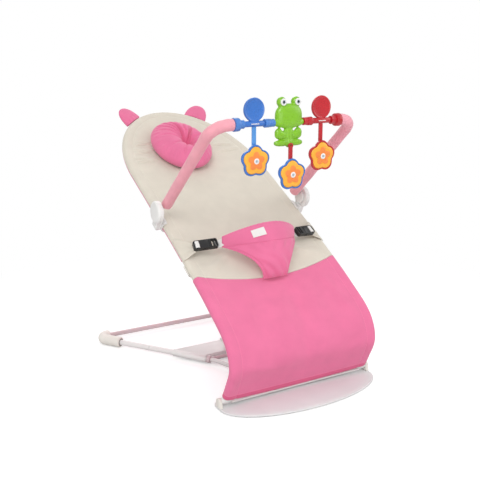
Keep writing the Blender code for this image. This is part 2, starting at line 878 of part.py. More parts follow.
def pillow():
    """The round head pillow with its sunk middle."""
    along = (PILLOW_Y - BACK_START.y) / math.cos(BACK_SLOPE)
    floor = HEM_OUT + GAP - PILLOW_SINK
    profile = [
        (0.12, PILLOW_DIP),
        (0.36, PILLOW_HIGH * 0.72),
        (0.58, PILLOW_HIGH),
        (0.80, PILLOW_HIGH * 0.90),
        (0.96, PILLOW_HIGH * 0.58),
        (1.00, PILLOW_HIGH * 0.30),
        (0.88, 0.0),
    ]
    loops = []
    for share, high in profile:
        loop = []
        for k in range(PILLOW_SIDES):
            turn = 2 * math.pi * k / PILLOW_SIDES
            x = PILLOW_X + PILLOW_RX * share * math.cos(turn)
            up = PILLOW_RY * share * math.sin(turn)
            loop.append(on_back(x, along + up, floor + high))
        loops.append(loop)
    item = loft("pillow", loops)
    finish(item, *PINK_CLOTH)
    return item


# Harness


def bezier(points, t):
    """A point on the Bezier curve of its control points."""
    points = list(points)
    while len(points) > 1:
        points = [a.lerp(b, t) for a, b in zip(points, points[1:])]
    return points[0]


def pad_point(u, v, off):
    """A point of the waist pad: u across, v from its top edge down to the crotch."""
    spine = [Vector((0, *p)) for p in (PAD_TOP, PAD_WAIST, PAD_BELLY, PAD_FOOT)]
    middle = bezier(spine, v)
    fall = max(0.0, (v - PAD_BAND) / (1 - PAD_BAND))
    half = PAD_FOOT_HALF + (PAD_HALF - PAD_FOOT_HALF) * (1 - fall) ** 2
    x = half * u
    bow = (x / PAD_HALF) ** 2
    high = Vector((0, PAD_END_TOP[0] - PAD_TOP[0], PAD_END_TOP[1] - PAD_TOP[1]))
    waist = bezier(spine, PAD_BAND)
    low = Vector((0, PAD_END_LOW[0] - waist.y, PAD_END_LOW[1] - waist.z))
    back = high.lerp(low, min(1.0, v / PAD_BAND))
    out = Vector((x * PAD_TURN, -PAD_HALF, 0)).normalized()
    return middle + Vector((x, 0, 0)) + back * bow + out * off


def waist_pad():
    """The padded waist band and crotch strap, one shaped piece."""
    outer = []
    inner = []
    rows, columns = 9, 9
    for i in range(rows):
        v = i / (rows - 1)
        across = [1 - 2 * j / (columns - 1) for j in range(columns)]
        outer.append([pad_point(u, v, PAD_THICK / 2) for u in across])
        inner.append([pad_point(u, v, -PAD_THICK / 2) for u in across])
    item = sheet("waist_pad", outer, inner)
    finish(item, *PINK_CLOTH)
    return item


BUCKLE_A = Vector(BUCKLE_IN)
BUCKLE_B = Vector(BUCKLE_OUT)
BUCKLE_AXIS = (BUCKLE_B - BUCKLE_A).normalized()
BUCKLE_FACE = Vector((0.0, -0.62, 0.78))
BUCKLE_FACE = (BUCKLE_FACE - BUCKLE_AXIS * BUCKLE_FACE.dot(BUCKLE_AXIS)).normalized()
BUCKLE_SIDE = BUCKLE_FACE.cross(BUCKLE_AXIS)


def on_buckle(along, side, off):
    """A point on the buckle: along it from the pad's end, across it and off its middle."""
    return BUCKLE_A + BUCKLE_AXIS * along + BUCKLE_SIDE * side + BUCKLE_FACE * off


def buckles():
    """Side-release buckles: a plug with two spring prongs in a socket with side windows."""
    half = BUCKLE_WIDTH / 2
    thick = BUCKLE_THICK / 2
    mouth = BUCKLE_MOUTH
    tail = BUCKLE_LENGTH
    wall = BUCKLE_WALL
    side_reach = half - wall

    def block(name, a0, a1, side, deep):
        outline = [(a0, -side), (a1, -side), (a1, side), (a0, side)]
        return prism(name, outline, on_buckle, -deep, deep)

    def slot(start):
        return block("slot", start, start + SLOT_WIDTH, side_reach, BUCKLE_THICK)

    socket_outline = [
        (mouth, -half),
        (tail - SOCKET_CHAMFER, -half),
        (tail, -half + SOCKET_CHAMFER),
        (tail, half - SOCKET_CHAMFER),
        (tail - SOCKET_CHAMFER, half),
        (mouth, half),
    ]
    socket = prism("buckle_socket_right", socket_outline, on_buckle, -thick, thick)
    bay = tail - SLOT_ZONE
    last = tail - SLOT_EDGE - SLOT_WIDTH
    cutters = [
        block("bay", mouth - OVERRUN, bay, side_reach, thick - wall),
        block("window", mouth + WINDOW_FROM, mouth + WINDOW_TO, half + OVERRUN, thick - wall),
        slot(last - SOCKET_PITCH),
        slot(last),
    ]
    combine(socket, cutters, "DIFFERENCE")
    finish(socket, *BLACK_PLASTIC)

    inside = side_reach - BUCKLE_PLAY
    tongue = thick - wall - BUCKLE_PLAY
    plug_outline = [
        (0.0, -half + PLUG_CHAMFER),
        (PLUG_CHAMFER, -half),
        (mouth - GAP, -half),
        (mouth - GAP, half),
        (PLUG_CHAMFER, half),
        (0.0, half - PLUG_CHAMFER),
    ]
    plug = prism("buckle_plug_right", plug_outline, on_buckle, -thick, thick)
    head_from, head_to = PRONG_HEAD
    root = inside - PRONG_ROOT
    prong = [
        (-OVERRUN, root - PRONG_THICK),
        (-OVERRUN, root),
        (WINDOW_FROM, inside - PRONG_ROOT / 2),
        (head_from, half - PRONG_SINK),
        (head_to, half - PRONG_SINK),
        (PRONG_TIP, inside - PRONG_THICK),
        ((head_from + head_to) / 2, root - PRONG_THICK),
    ]
    parts = [block("tongue", mouth - OVERRUN, bay - BUCKLE_PLAY, TONGUE_HALF, tongue)]
    for side in (-1, 1):
        outline = [(mouth + along, side * across) for along, across in prong]
        parts.append(prism("prong", outline, on_buckle, -tongue, tongue))
    combine(plug, parts, "UNION")
    slots = [slot(SLOT_EDGE), slot(SLOT_EDGE + PLUG_PITCH)]
    combine(plug, slots, "DIFFERENCE")
    finish(plug, *BLACK_PLASTIC)
    left_socket = mirrored(socket, "buckle_socket_left")
    left_plug = mirrored(plug, "buckle_plug_left")
    finish(left_socket, *BLACK_PLASTIC)
    finish(left_plug, *BLACK_PLASTIC)
    return [socket, plug, left_socket, left_plug]


def strip(name, centres, across, off, width, thick):
    """A flat strap through centre points, with its width and thickness directions."""
    loops = []
    for centre in centres:
        w = across * (width / 2)
        t = off * (thick / 2)
        loops.append([centre - w - t, centre + w - t, centre + w + t, centre - w + t])
    return loft(name, loops)


def waist_straps():
    """Short webbing loops that join the pad's ends to the buckle plugs."""
    pad_end = pad_point(1.0, PAD_BAND / 2, 0.0)
    pad_end.x = PAD_HALF + PAD_THICK / 2 + GAP
    under = -BUCKLE_THICK / 2 - STRAP_THICK / 2 - GAP
    between_slots = SLOT_EDGE + (SLOT_WIDTH + PLUG_PITCH) / 2
    centres = [pad_end, on_buckle(-STRAP_LEAD, 0, under), on_buckle(between_slots, 0, under)]
    right = strip("waist_strap_right", centres, BUCKLE_SIDE, BUCKLE_FACE, STRAP_WIDTH, STRAP_THICK)
    left = mirrored(right, "waist_strap_left")
    finish(right, *WHITE_WEB)
    finish(left, *WHITE_WEB)
    return [right, left]


def side_bands():
    """Fabric wings from the cover's edge to the buckle sockets."""
    low_at = distance_at_y(BAND_LOW_Y)
    high_at = distance_at_y(BAND_HIGH_Y)
    root = HEM_OUT + 2 * GAP
    side, shoulder, top = hem_angles(UPPER_WRAP)[1:]
    outer = []
    inner = []
    tip_low = on_buckle(BUCKLE_LENGTH - BAND_GRIP, BAND_INSET - STRAP_WIDTH / 2, 0)
    tip_high = on_buckle(BUCKLE_LENGTH - BAND_GRIP, STRAP_WIDTH / 2 - BAND_INSET, 0)
    drop = BUCKLE_FACE * (BUCKLE_THICK / 2 + GAP + CLOTH)
    for i in range(5):
        t = i / 4
        station = station_at(low_at + (high_at - low_at) * t)
        start = around(station, root, side)
        over = around(station, root, shoulder)
        crest = around(station, root + BAND_CREST, top)
        tip = tip_low.lerp(tip_high, t) - drop
        curve = [start, over] + [bezier([over, crest, tip], k / 4) for k in range(1, 5)]
        lift = station[2] * CLOTH
        out = station[3] * CLOTH
        low_row = []
        high_row = []
        for k, point in enumerate(curve):
            share = min(1.0, k / 2)
            low_row.append(point)
            high_row.append(point + out * (1 - share) + lift * share)
        inner.append(low_row)
        outer.append(high_row)
    right = sheet("side_band_right", outer, inner)
    left = mirrored(right, "side_band_left")
    finish(right, *CREAM_CLOTH)
    finish(left, *CREAM_CLOTH)
    return [right, left]


# Base


def board_outline(inset=0.0, steps=16):
    """The board from above: a half ellipse in front, a straight tail with round corners."""
    points = []
    for k in range(steps + 1):
        turn = math.pi + math.pi * k / steps
        x = (BOARD_HALF - inset) * math.cos(turn)
        y = BOARD_LINE_Y + (BOARD_NOSE - inset) * math.sin(turn)
        points.append((x, y))
    corner = BOARD_CORNER - inset
    for side in (1, -1):
        cx = side * (BOARD_HALF - inset - corner)
        cy = BOARD_TAIL_Y - inset - corner
        for k in range(ARC_STEPS // 2 + 1):
            turn = math.pi * k / ARC_STEPS
            if side < 0:
                turn = math.pi / 2 + turn
            points.append((cx + corner * math.cos(turn), cy + corner * math.sin(turn)))
    return points


def board_top(x, y):
    """Height of the board's crowned top over the grip sheet."""
    depth = BOARD_NOSE if y < BOARD_LINE_Y else TAIL_FALL * BOARD_TAIL_Y
    reach = (x / BOARD_HALF) ** 2 + ((y - BOARD_LINE_Y) / depth) ** 2
    return GRIP_THICK + BOARD_EDGE + BOARD_DOME * max(0.0, 1 - reach ** CROWN_POWER)


def balance_board():
    """The moulded board the foot of the seat stands on, with sockets for the base rods."""
    outline = board_outline()
    centre_y = (BOARD_TAIL_Y + BOARD_LINE_Y) / 2
    loops = [[Vector((x, y, GRIP_THICK)) for x, y in board_outline(BOARD_UNDER)]]
    loops.append([Vector((x, y, GRIP_THICK + BOARD_SIDE)) for x, y in outline])
    for share in (1.0, 0.96, 0.70):
        loop = []
        for x, y in outline:
            px, py = x * share, centre_y + (y - centre_y) * share
            drop = BOARD_ROLL if share == 1.0 else 0.0
            loop.append(Vector((px, py, board_top(px, py) - drop)))
        loops.append(loop)
    board = loft("balance_board", loops)
    tools = []
    bores = []
    for side in (-1, 1):
        x = side * ROD_FRONT_X
        near = Vector((x, BOARD_TAIL_Y - BOSS_IN, BASE_Z))
        far = Vector((x, BOARD_TAIL_Y + BOSS_OUT, BASE_Z))
        tools.append(pipe("boss", [near, far], ROD_R + BOSS_WALL, sides=FINE))
        floor = near + Vector((0, BOSS_FLOOR, 0))
        bores.append(pipe("bore", [floor, far + Vector((0, OVERRUN, 0))], ROD_R + GAP))
    combine(board, tools, "UNION")
    combine(board, bores, "DIFFERENCE")
    finish(board, *WHITE_PLASTIC)
    grip = loft(
        "board_grip",
        [
            [Vector((x, y, 0.0)) for x, y in board_outline(GRIP_INSET + GRIP_DRAFT)],
            [Vector((x, y, GRIP_THICK - GAP)) for x, y in board_outline(GRIP_INSET)],
        ],
    )
    finish(grip, *DARK_RUBBER)
    return [board, grip]


def hinge_clips():
    """Bearing blocks at the board's tips, which the foot rail's pins turn in."""
    inner = RAIL_HALF + GAP
    pin_end = RAIL_HALF + RAIL_PIN
    half = CLIP_HALF
    foot = board_top(RAIL_HALF, PIVOT_Y) + GAP
    turns = [math.pi * k / ARC_STEPS for k in range(ARC_STEPS + 1)]
    outline = [(half + CLIP_SPREAD, foot)]
    outline += [(half * math.cos(a), PIVOT_Z + half * math.sin(a)) for a in turns]
    outline.append((-half - CLIP_SPREAD, foot))

    def place(y, z, x):
        return Vector((x, PIVOT_Y + y, z))

    clip = prism("hinge_clip_right", outline, place, inner, pin_end + CLIP_CAP)
    start = place(0, PIVOT_Z, inner - OVERRUN)
    end = place(0, PIVOT_Z, pin_end + RUN)
    combine(clip, [pipe("hole", [start, end], RAIL_PIN_R + RUN, sides=FINE)], "DIFFERENCE")
    left = mirrored(clip, "hinge_clip_left")
    finish(clip, *CREAM_PLASTIC)
    finish(left, *CREAM_PLASTIC)
    return [clip, left]


def base_point(pair, side):
    """A point of the base frame on the floor, at one side."""
    return Vector((side * pair[0], pair[1], BASE_Z))


def base_frame():
    """Rear bar, elbow feet, side tubes and the thin rods that run to the board."""
    corner = Vector((REAR_HALF, REAR_Y, BASE_Z))
    sleeve_rear = base_point(SLEEVE_REAR, 1)
    sleeve_front = base_point(SLEEVE_FRONT, 1)
    run = (sleeve_rear - corner).normalized()
    across = Vector((-1, 0, 0))
    bend = ELBOW_BEND / math.tan(across.angle(run) / 2)
    bar_mouth = corner + across * (bend + ELBOW_BAR_LEG)
    tube_mouth = corner + run * (bend + ELBOW_SIDE_LEG)
    elbow_path = rounded([bar_mouth, corner, tube_mouth], ELBOW_BEND, BEND_STEPS)
    elbow = pipe("elbow_right", elbow_path, FOOT_R, sides=FINE)
    bar_end = bar_mouth - across * ELBOW_DEPTH
    tube_end = tube_mouth - run * ELBOW_DEPTH
    bores = [
        pipe("bore", [bar_end, bar_mouth + across * OVERRUN], REAR_BAR_R + GAP),
        pipe("bore", [tube_end, tube_mouth + run * OVERRUN], SIDE_TUBE_R + GAP),
    ]
    combine(elbow, bores, "DIFFERENCE")
    elbow_left = mirrored(elbow, "elbow_left")
    bar_from = bar_end + across * GAP
    bar = pipe("rear_bar", [bar_from, flip_x(bar_from)], REAR_BAR_R, REAR_BAR_R - BASE_WALL)
    tube_from = tube_end + run * GAP
    tube_path = rounded([tube_from, sleeve_rear, sleeve_front], SIDE_TUBE_BEND, BEND_STEPS)
    tube = pipe("side_tube_right", tube_path, SIDE_TUBE_R, SIDE_TUBE_R - BASE_WALL)
    tube_left = mirrored(tube, "side_tube_left")
    lead = (sleeve_front - sleeve_rear).normalized()
    rod_path = rounded(
        [
            sleeve_front - lead * ROD_LAP,
            sleeve_front + lead * ROD_LEAD,
            Vector((ROD_FRONT_X, ROD_BEND_Y, BASE_Z)),
            Vector((ROD_FRONT_X, BOARD_TAIL_Y - BOSS_IN + BOSS_FLOOR + GAP, BASE_Z)),
        ],
        ROD_BEND,
        BEND_STEPS,
    )
    rod = pipe("front_rod_right", rod_path, ROD_R)
    rod_left = mirrored(rod, "front_rod_left")
    finish(bar, *PINK_STEEL)
    for item in (elbow, elbow_left):
        finish(item, *CREAM_PLASTIC)
    for item in (tube, tube_left, rod, rod_left):
        finish(item, *WHITE_STEEL)


def foot_at(degrees):
    """Where the support leg's foot bar stands when the seat turns by an angle."""
    hinge = Vector((PIVOT_Y, PIVOT_Z))
    pin = Vector((LEG_PIN_Y, LEG_PIN_Z))
    foot = Vector((LEG_FOOT_Y, LEG_FOOT_Z))

    def turn(vector, angle):
        c, s = math.cos(angle), math.sin(angle)
        return Vector((vector.x * c - vector.y * s, vector.x * s + vector.y * c))

    seat = math.radians(degrees)
    leg = seat * (1 - LEG_RATIO)
    return hinge + turn(pin - hinge, seat) + turn(foot - pin, leg)


def adjuster_plate():
    """The moulded plate that grips both side tubes and holds the notched rack."""
    front_x, front_y = SLEEVE_FRONT
    rear_x, rear_y = SLEEVE_REAR
    slope = (rear_x - front_x) / (rear_y - front_y)
    outline = [
        (-front_x - slope * PLATE_SET, front_y + PLATE_SET),
        (front_x + slope * PLATE_SET, front_y + PLATE_SET),
        (rear_x - slope * PLATE_END, rear_y - PLATE_END),
        (-rear_x + slope * PLATE_END, rear_y - PLATE_END),
    ]
    plate = prism("adjuster_plate", outline, lambda x, y, z: Vector((x, y, z)), PLATE_BOTTOM, PLATE_TOP)
    rack_front = foot_at(NOTCH_STEP_DEG).x - RACK_LAND
    rack_rear = foot_at(-NOTCH_STEP_DEG).x + RACK_LAND
    rack_outline = [
        (rack_front - RACK_SLOPE, PLATE_BOTTOM + RACK_ROOT),
        (rack_rear + RACK_SLOPE, PLATE_BOTTOM + RACK_ROOT),
        (rack_rear + RACK_SLOPE, PLATE_TOP + RACK_SHOULDER),
        (rack_rear, RACK_TOP),
        (rack_front, RACK_TOP),
        (rack_front - RACK_SLOPE, PLATE_TOP + RACK_SHOULDER),
    ]
    rack = prism("rack", rack_outline, lambda y, z, x: Vector((x, y, z)), -RACK_HALF, RACK_HALF)
    sleeves = []
    bores = []
    for side in (-1, 1):
        rear = base_point(SLEEVE_REAR, side)
        front = base_point(SLEEVE_FRONT, side)
        lead = (rear - front).normalized()
        sleeve = [front + lead * SLEEVE_SET, rear - lead * PLATE_END]
        sleeves.append(pipe("sleeve", sleeve, SLEEVE_R, sides=FINE))
        bores.append(pipe("bore", [front - lead * OVERRUN, rear + lead * OVERRUN], SIDE_TUBE_R + GAP))
    skin = PLATE_WALL
    pockets = []
    for side in (-1, 1):
        near_y, far_y = front_y + PLATE_SET + skin, rear_y - PLATE_END - skin
        inner = RACK_HALF + skin
        reach = [front_x + slope * (y - front_y) - SLEEVE_R - skin for y in (near_y, far_y)]
        pocket = [(inner, near_y), (reach[0], near_y), (reach[1], far_y), (inner, far_y)]
        pockets.append(
            prism(
                "pocket",
                [(side * x, y) for x, y in pocket],
                lambda x, y, z: Vector((x, y, z)),
                PLATE_BOTTOM - OVERRUN,
                PLATE_TOP - skin,
            )
        )
    combine(plate, [rack] + sleeves, "UNION")
    combine(plate, pockets, "DIFFERENCE")
    for step in (-1, 0, 1):
        middle = foot_at(step * NOTCH_STEP_DEG).x
        arc = [math.pi + math.pi * k / ARC_STEPS for k in range(ARC_STEPS + 1)]
        cut = [(middle + NOTCH_HALF * math.cos(a), RACK_TOP + NOTCH_DEEP * math.sin(a)) for a in arc]
        cut += [(middle + side * NOTCH_HALF, RACK_TOP + NOTCH_DEEP) for side in (1, -1)]
        side = RACK_HALF + NOTCH_DEEP
        bores.append(prism("notch", cut, lambda y, z, x: Vector((x, y, z)), -side, side))
    combine(plate, bores, "DIFFERENCE")
    finish(plate, *WHITE_PLASTIC)
    return plate


def cross_bar():
    """The pink bar between two ring caps, where the thin rods enter the side tubes."""
    ends = []
    bores = []
    for side in (-1, 1):
        rear = base_point(SLEEVE_REAR, side)
        front = base_point(SLEEVE_FRONT, side)
        lead = (front - rear).normalized()
        start = front + lead * GAP
        ends.append(pipe("cap", [start, start + lead * CAP_LENGTH], SLEEVE_R, sides=FINE))
        middle = start + lead * (CAP_LENGTH / 2)
        cut = [middle - lead * CAP_LENGTH, middle + lead * CAP_LENGTH]
        bores.append(pipe("bore", cut, ROD_R + GAP, sides=FINE))
    bar = pipe("cross_bar", [middle, flip_x(middle)], CROSS_BAR_R)
    combine(bar, ends, "UNION")
    combine(bar, bores, "DIFFERENCE")
    finish(bar, *PINK_STEEL)
    return bar


def support_leg():
    """The bent leg that hangs on the cross tube and stands in the rack's notch."""
    pin = Vector((0, LEG_PIN_Y, LEG_PIN_Z))
    foot = Vector((0, LEG_FOOT_Y, LEG_FOOT_Z))
    down = (foot - pin).normalized()
    half = Vector((LEG_HALF, 0, 0))
    top = pin + down * (CROSS_R + RUN + LEG_ROOT)
    path = rounded([top + half, foot + half, foot - half, top - half], LEG_BEND, BEND_STEPS)
    leg = pipe("support_leg", path, LEG_R)
    barrels = []
    bores = []
    for side in (-1, 1):
        middle = pin + half * side
        reach = Vector((BARREL_LENGTH / 2, 0, 0))
        barrels.append(pipe("barrel", [middle - reach, middle + reach], BARREL_R, sides=FINE))
        past = reach + Vector((OVERRUN, 0, 0))
        bores.append(pipe("bore", [middle - past, middle + past], CROSS_R + RUN, sides=FINE))
    combine(leg, barrels, "UNION")
    combine(leg, bores, "DIFFERENCE")
    finish(leg, *WHITE_STEEL)
    return leg


# Toy arch

ARCH_PIVOT_Z = station_at(distance_at_y(ARCH_PIVOT_Y))[0].z + ARCH_PIVOT_UP
ARCH_UP = Vector((0, math.cos(ARCH_RISE), math.sin(ARCH_RISE)))
ARCH_PIVOT = Vector((0, ARCH_PIVOT_Y, ARCH_PIVOT_Z))
ARCH_ORIGIN = ARCH_PIVOT + Vector((0, ARCH_UP.z, -ARCH_UP.y)) * ARCH_OFFSET
BAR_CENTRE = ARCH_ORIGIN + ARCH_UP * ARCH_LENGTH


def arch():
    """The arch's rod, its foam sleeves and the hubs it turns on."""
    half = Vector((ARCH_HALF, 0, 0))
    axis = Vector((1, 0, 0))
    corner = ARCH_ORIGIN + half
    foam_end = corner + ARCH_UP * FOAM_FROM
    tip_end = Vector((HUB_INNER + HUB_HOLE, corner.y, corner.z))
    tip = rounded([tip_end, corner, foam_end], ARCH_TIP_BEND, BEND_STEPS)
    top = BAR_CENTRE + half
    bend = rounded([foam_end, top, BAR_CENTRE], ARCH_BEND, 4)[1:-1]
    right = tip + bend
    rod = pipe("arch_tube", right + [flip_x(p) for p in right[::-1]], ARCH_ROD_R)
    finish(rod, *WHITE_STEEL)

    foam_stop = Vector((RED_X + TOY_HUB_HALF + SPACER_LENGTH, BAR_CENTRE.y, BAR_CENTRE.z))
    foam_path = [foam_end] + bend + [foam_stop]
    right_foam = pipe("foam_right", foam_path, FOAM_R, ARCH_ROD_R + GAP)
    foam_stop = Vector((TOY_HUB_HALF + SPACER_LENGTH - BLUE_X, BAR_CENTRE.y, BAR_CENTRE.z))
    foam_path = [flip_x(p) for p in foam_path[:-1] + [foam_stop]]
    left_foam = pipe("foam_left", foam_path, FOAM_R, ARCH_ROD_R + GAP)
    finish(right_foam, *PINK_FOAM)
    finish(left_foam, *PINK_FOAM)

    up = Vector((0, 0, 1))
    back = Vector((0, 1, 0))
    start = Vector((HUB_INNER, ARCH_PIVOT_Y, ARCH_PIVOT_Z))
    steps = [
        (0.0, HUB_R),
        (HUB_THICK, HUB_R),
        (HUB_THICK, AXLE_R),
        (HUB_THICK + AXLE_LENGTH, AXLE_R),
    ]
    hub = loft("arch_hub_right", [ring(start + axis * a, back, up, r, 16) for a, r in steps])
    near = Vector((HUB_INNER - OVERRUN, corner.y, corner.z))
    far = near + axis * (OVERRUN + HUB_HOLE + GAP)
    combine(hub, [pipe("hole", [near, far], ARCH_ROD_R + GAP)], "DIFFERENCE")
    left_hub = mirrored(hub, "arch_hub_left")
    finish(hub, *WHITE_PLASTIC)
    finish(left_hub, *WHITE_PLASTIC)
    return [rod, right_foam, left_foam, hub, left_hub]


def arch_clamps():
    """Clips on the seat's edges with round caps, whose sockets hold the arch's axles."""
    nearest = distance_at_y(ARCH_PIVOT_Y + CLAMP_SHIFT)
    station = station_at(nearest)
    near = HEM_OUT / math.cos(math.radians(CLAMP_STEP / 2)) + GAP
    far = near + CLAMP_WALL
    angles = [CLAMP_STEP * k for k in range(-4, 5)]
    section = [(near, a) for a in angles] + [(far, a) for a in reversed(angles)]
    loops = []
    for k in (-1, 0, 1):
        place = station_at(nearest + k * CLAMP_LENGTH / 2)
        loops.append([around(place, r, a) for r, a in section])
    clip = loft("arch_clamp_right", loops)

    foot = Vector((0, station[0].y, station[0].z))
    along = Vector((0, station[2].z, -station[2].y))
    outline = [
        (-BLOCK_HALF, BLOCK_LOW),
        (BLOCK_HALF, BLOCK_LOW),
        (BLOCK_HALF, BLOCK_TOP),
        (-BLOCK_HALF, BLOCK_TOP),
    ]
    block = prism(
        "block",
        outline,
        lambda t, n, x: foot + along * t + station[2] * n + Vector((x, 0, 0)),
        BLOCK_INNER,
        BLOCK_OUTER,
    )
    up = Vector((0, 0, 1))
    back = Vector((0, 1, 0))
    axis = Vector((1, 0, 0))
    start = Vector((DISC_INNER, ARCH_PIVOT_Y, ARCH_PIVOT_Z))
    steps = [
        (0.0, DISC_R),
        (DISC_THICK - DISC_EDGE, DISC_R),
        (DISC_THICK, DISC_R - DISC_EDGE),
    ]
    disc = loft("disc", [ring(start + axis * a, back, up, r, 20) for a, r in steps])
    combine(clip, [block, disc], "UNION")
    reach = AXLE_LENGTH - (DISC_INNER - HUB_INNER - HUB_THICK) + RUN
    hole = pipe("hole", [start - axis * OVERRUN, start + axis * reach], AXLE_R + RUN, sides=FINE)
    combine(clip, [hole], "DIFFERENCE")
    left = mirrored(clip, "arch_clamp_left")
    finish(clip, *WHITE_PLASTIC)
    finish(left, *WHITE_PLASTIC)
    return [clip, left]


def connectors():
    """Stepped spacers on the rod, blue beside the blue toy and red beside the red one."""
    def spacer(name, x0, x1, r0, r1):
        centre = Vector((x0, BAR_CENTRE.y, BAR_CENTRE.z))
        reach = x1 - x0
        profile = [
            (0.0, ARCH_ROD_R + GAP),
            (0.0, r0),
            (reach * SPACER_STEP, r0 * SPACER_DRAFT),
            (reach * SPACER_STEP, r1),
            (reach, r1 * SPACER_DRAFT),
            (reach, ARCH_ROD_R + GAP),
        ]
        return turned(name, profile, centre, Vector((1, 0, 0)), Vector((0, 0, 1)))

    blue_low = BLUE_X - TOY_HUB_HALF - SPACER_GAP
    blue_high = BLUE_X + TOY_HUB_HALF + SPACER_GAP
    frog_low = FROG_X - FROG_HALF - SPACER_GAP
    frog_high = FROG_X + FROG_HALF + SPACER_GAP
    red_low = RED_X - TOY_HUB_HALF - SPACER_GAP
    red_high = RED_X + TOY_HUB_HALF + SPACER_GAP
    outer = TOY_HUB_HALF + SPACER_LENGTH - GAP
    slim = CONNECT_SMALL * SPACER_NECK
    items = [
        spacer("blue_spacer_outer", BLUE_X - outer, blue_low, CONNECT_BIG, CONNECT_SMALL),
        spacer("blue_spacer_inner", blue_high, frog_low, CONNECT_SMALL, slim),
        spacer("red_spacer_inner", frog_high, red_low, slim, CONNECT_SMALL),
        spacer("red_spacer_outer", red_high, RED_X + outer, CONNECT_SMALL, CONNECT_BIG),
    ]
    for item, colour in zip(items, (BLUE, BLUE, RED, RED)):
        finish(item, *colour)
    return items


def paddle(name, x, colour):
    """An oval paddle over the rod, with the hub that swings on it."""
    centre = Vector((x, BAR_CENTRE.y, BAR_CENTRE.z))
    middle = centre + Vector((0, 0, TOY_HUB_R * PADDLE_SEAT + PADDLE_TALL))
    loops = []
    edges = [(PADDLE_EDGE, -1.0), (1.0, -PADDLE_FLAT), (1.0, PADDLE_FLAT), (PADDLE_EDGE, 1.0)]
    sides = 18
    for share, depth in edges:
        loop = []
        for k in range(sides):
            turn = 2 * math.pi * k / sides
            loop.append(
                middle
                + Vector(
                    (
                        PADDLE_HALF * share * math.cos(turn),
                        depth * PADDLE_THICK / 2,
                        PADDLE_TALL * share * math.sin(turn),
                    )
                )
            )
        loops.append(loop)
    item = loft(name, loops)
    reach = Vector((TOY_HUB_HALF, 0, 0))
    hub = pipe("hub", [centre - reach, centre + reach], TOY_HUB_R, sides=FINE)
    past = reach + Vector((OVERRUN, 0, 0))
    bore = pipe("bore", [centre - past, centre + past], HUB_BORE, sides=FINE)
    combine(item, [hub], "UNION")
    combine(item, [bore], "DIFFERENCE")
    finish(item, *colour)
    return item


def stem(name, top, length, colour, eye=False):
    """A flat stem that ends in a headed pin for its flower; an eye stem hangs on a pin."""
    end = top - Vector((0, 0, length))
    half = STEM_WIDTH / 2
    head = STEM_HEAD
    arc = [math.pi + math.pi * k / ARC_STEPS for k in range(ARC_STEPS + 1)]
    outline = [(head * math.cos(a), -length + head * math.sin(a)) for a in arc]
    outline += [(half, -length + head), (half, 0.0), (-half, 0.0), (-half, -length + head)]
    thick = STEM_THICK / 2
    item = prism(
        name,
        outline,
        lambda u, v, w: top + Vector((u, w, v)),
        -thick,
        thick,
    )
    front = Vector((0, -1, 0))
    side, up = Vector((1, 0, 0)), Vector((0, 0, 1))
    root = end - front * (thick / 2)
    neck = thick + GAP + FLOWER_BACK + PETAL_GAP
    pin_loops = [
        ring(root, side, up, FLOWER_PIN_R),
        ring(end + front * neck, side, up, FLOWER_PIN_R),
        ring(end + front * neck, side, up, FLOWER_PIN_R + FLOWER_HEAD),
        ring(end + front * (neck + FLOWER_HEAD_THICK), side, up, FLOWER_PIN_R + FLOWER_HEAD * HEAD_TAPER),
    ]
    tools = [loft("pin", pin_loops)]
    if eye:
        tools.append(pipe("eye", [top - front * thick, top + front * thick], STEM_EYE, sides=FINE))
    combine(item, tools, "UNION")
    if eye:
        past = front * (thick + OVERRUN)
        combine(item, [pipe("hole", [top - past, top + past], RATTLE_PIN_R + RUN)], "DIFFERENCE")
    finish(item, *colour)
    return item


def flower(name, centre, rim_colour):
    """A five-petal spinner: a coloured dish on its pin, and the petals pressed into it."""
    count = PETAL_STEPS

    def lobed(radius, share, y):
        loop = []
        for k in range(count):
            turn = 2 * math.pi * k / count
            lobe = abs(math.cos(PETALS / 2 * turn))
            reach = radius * (1 - FLOWER_LOBE + FLOWER_LOBE * lobe) * share
            loop.append(centre + Vector((reach * math.sin(turn), y, reach * math.cos(turn))))
        return loop

    back = -(STEM_THICK / 2 + GAP)
    floor = back - FLOWER_BACK
    front = back - FLOWER_DEPTH
    inside = FLOWER_R - FLOWER_RIM
    dish_loops = [
        lobed(FLOWER_R - FLOWER_DRAFT, 1, back),
        lobed(FLOWER_R, 1, front),
        lobed(inside, 1, front),
        lobed(inside, 1, floor),
    ]
    dish = loft(name + "_dish", dish_loops)
    axis = Vector((0, -1, 0))
    through = [centre - axis * OVERRUN, centre + axis * (FLOWER_DEPTH + FLOWER_BACK)]
    hole = pipe("hole", through, FLOWER_PIN_R + FLOWER_PLAY)
    combine(dish, [hole], "DIFFERENCE")
    low = floor - PETAL_GAP
    petal_r = inside - PETAL_GAP
    petal_loops = [
        lobed(petal_r, 1, low),
        lobed(petal_r - PETAL_DRAFT, 1, front - PETAL_PROUD),
        lobed(petal_r, PETAL_MIDDLE, front - PETAL_CROWN),
    ]
    petals = loft(name + "_petals", petal_loops)
    top = centre + axis * (PIN_ROOM_DEEP - low)
    room = pipe("room", [centre - axis * OVERRUN, top], FLOWER_PIN_R + PIN_ROOM)
    combine(petals, [room], "DIFFERENCE")
    finish(dish, *rim_colour)
    finish(petals, *YELLOW)
    return [dish, petals]


def ball(name, centre, reach, rows=3, sides=8):
    """An ellipsoid with half sizes reach."""
    loops = []
    for i in range(rows):
        lat = math.pi * (i + 0.5) / rows
        loop = []
        for k in range(sides):
            turn = 2 * math.pi * k / sides
            loop.append(
                centre
                + Vector(
                    (
                        reach[0] * math.sin(lat) * math.cos(turn),
                        reach[1] * math.sin(lat) * math.sin(turn),
                        reach[2] * math.cos(lat),
                    )
                )
            )
        loops.append(loop)
    return loft(name, loops)


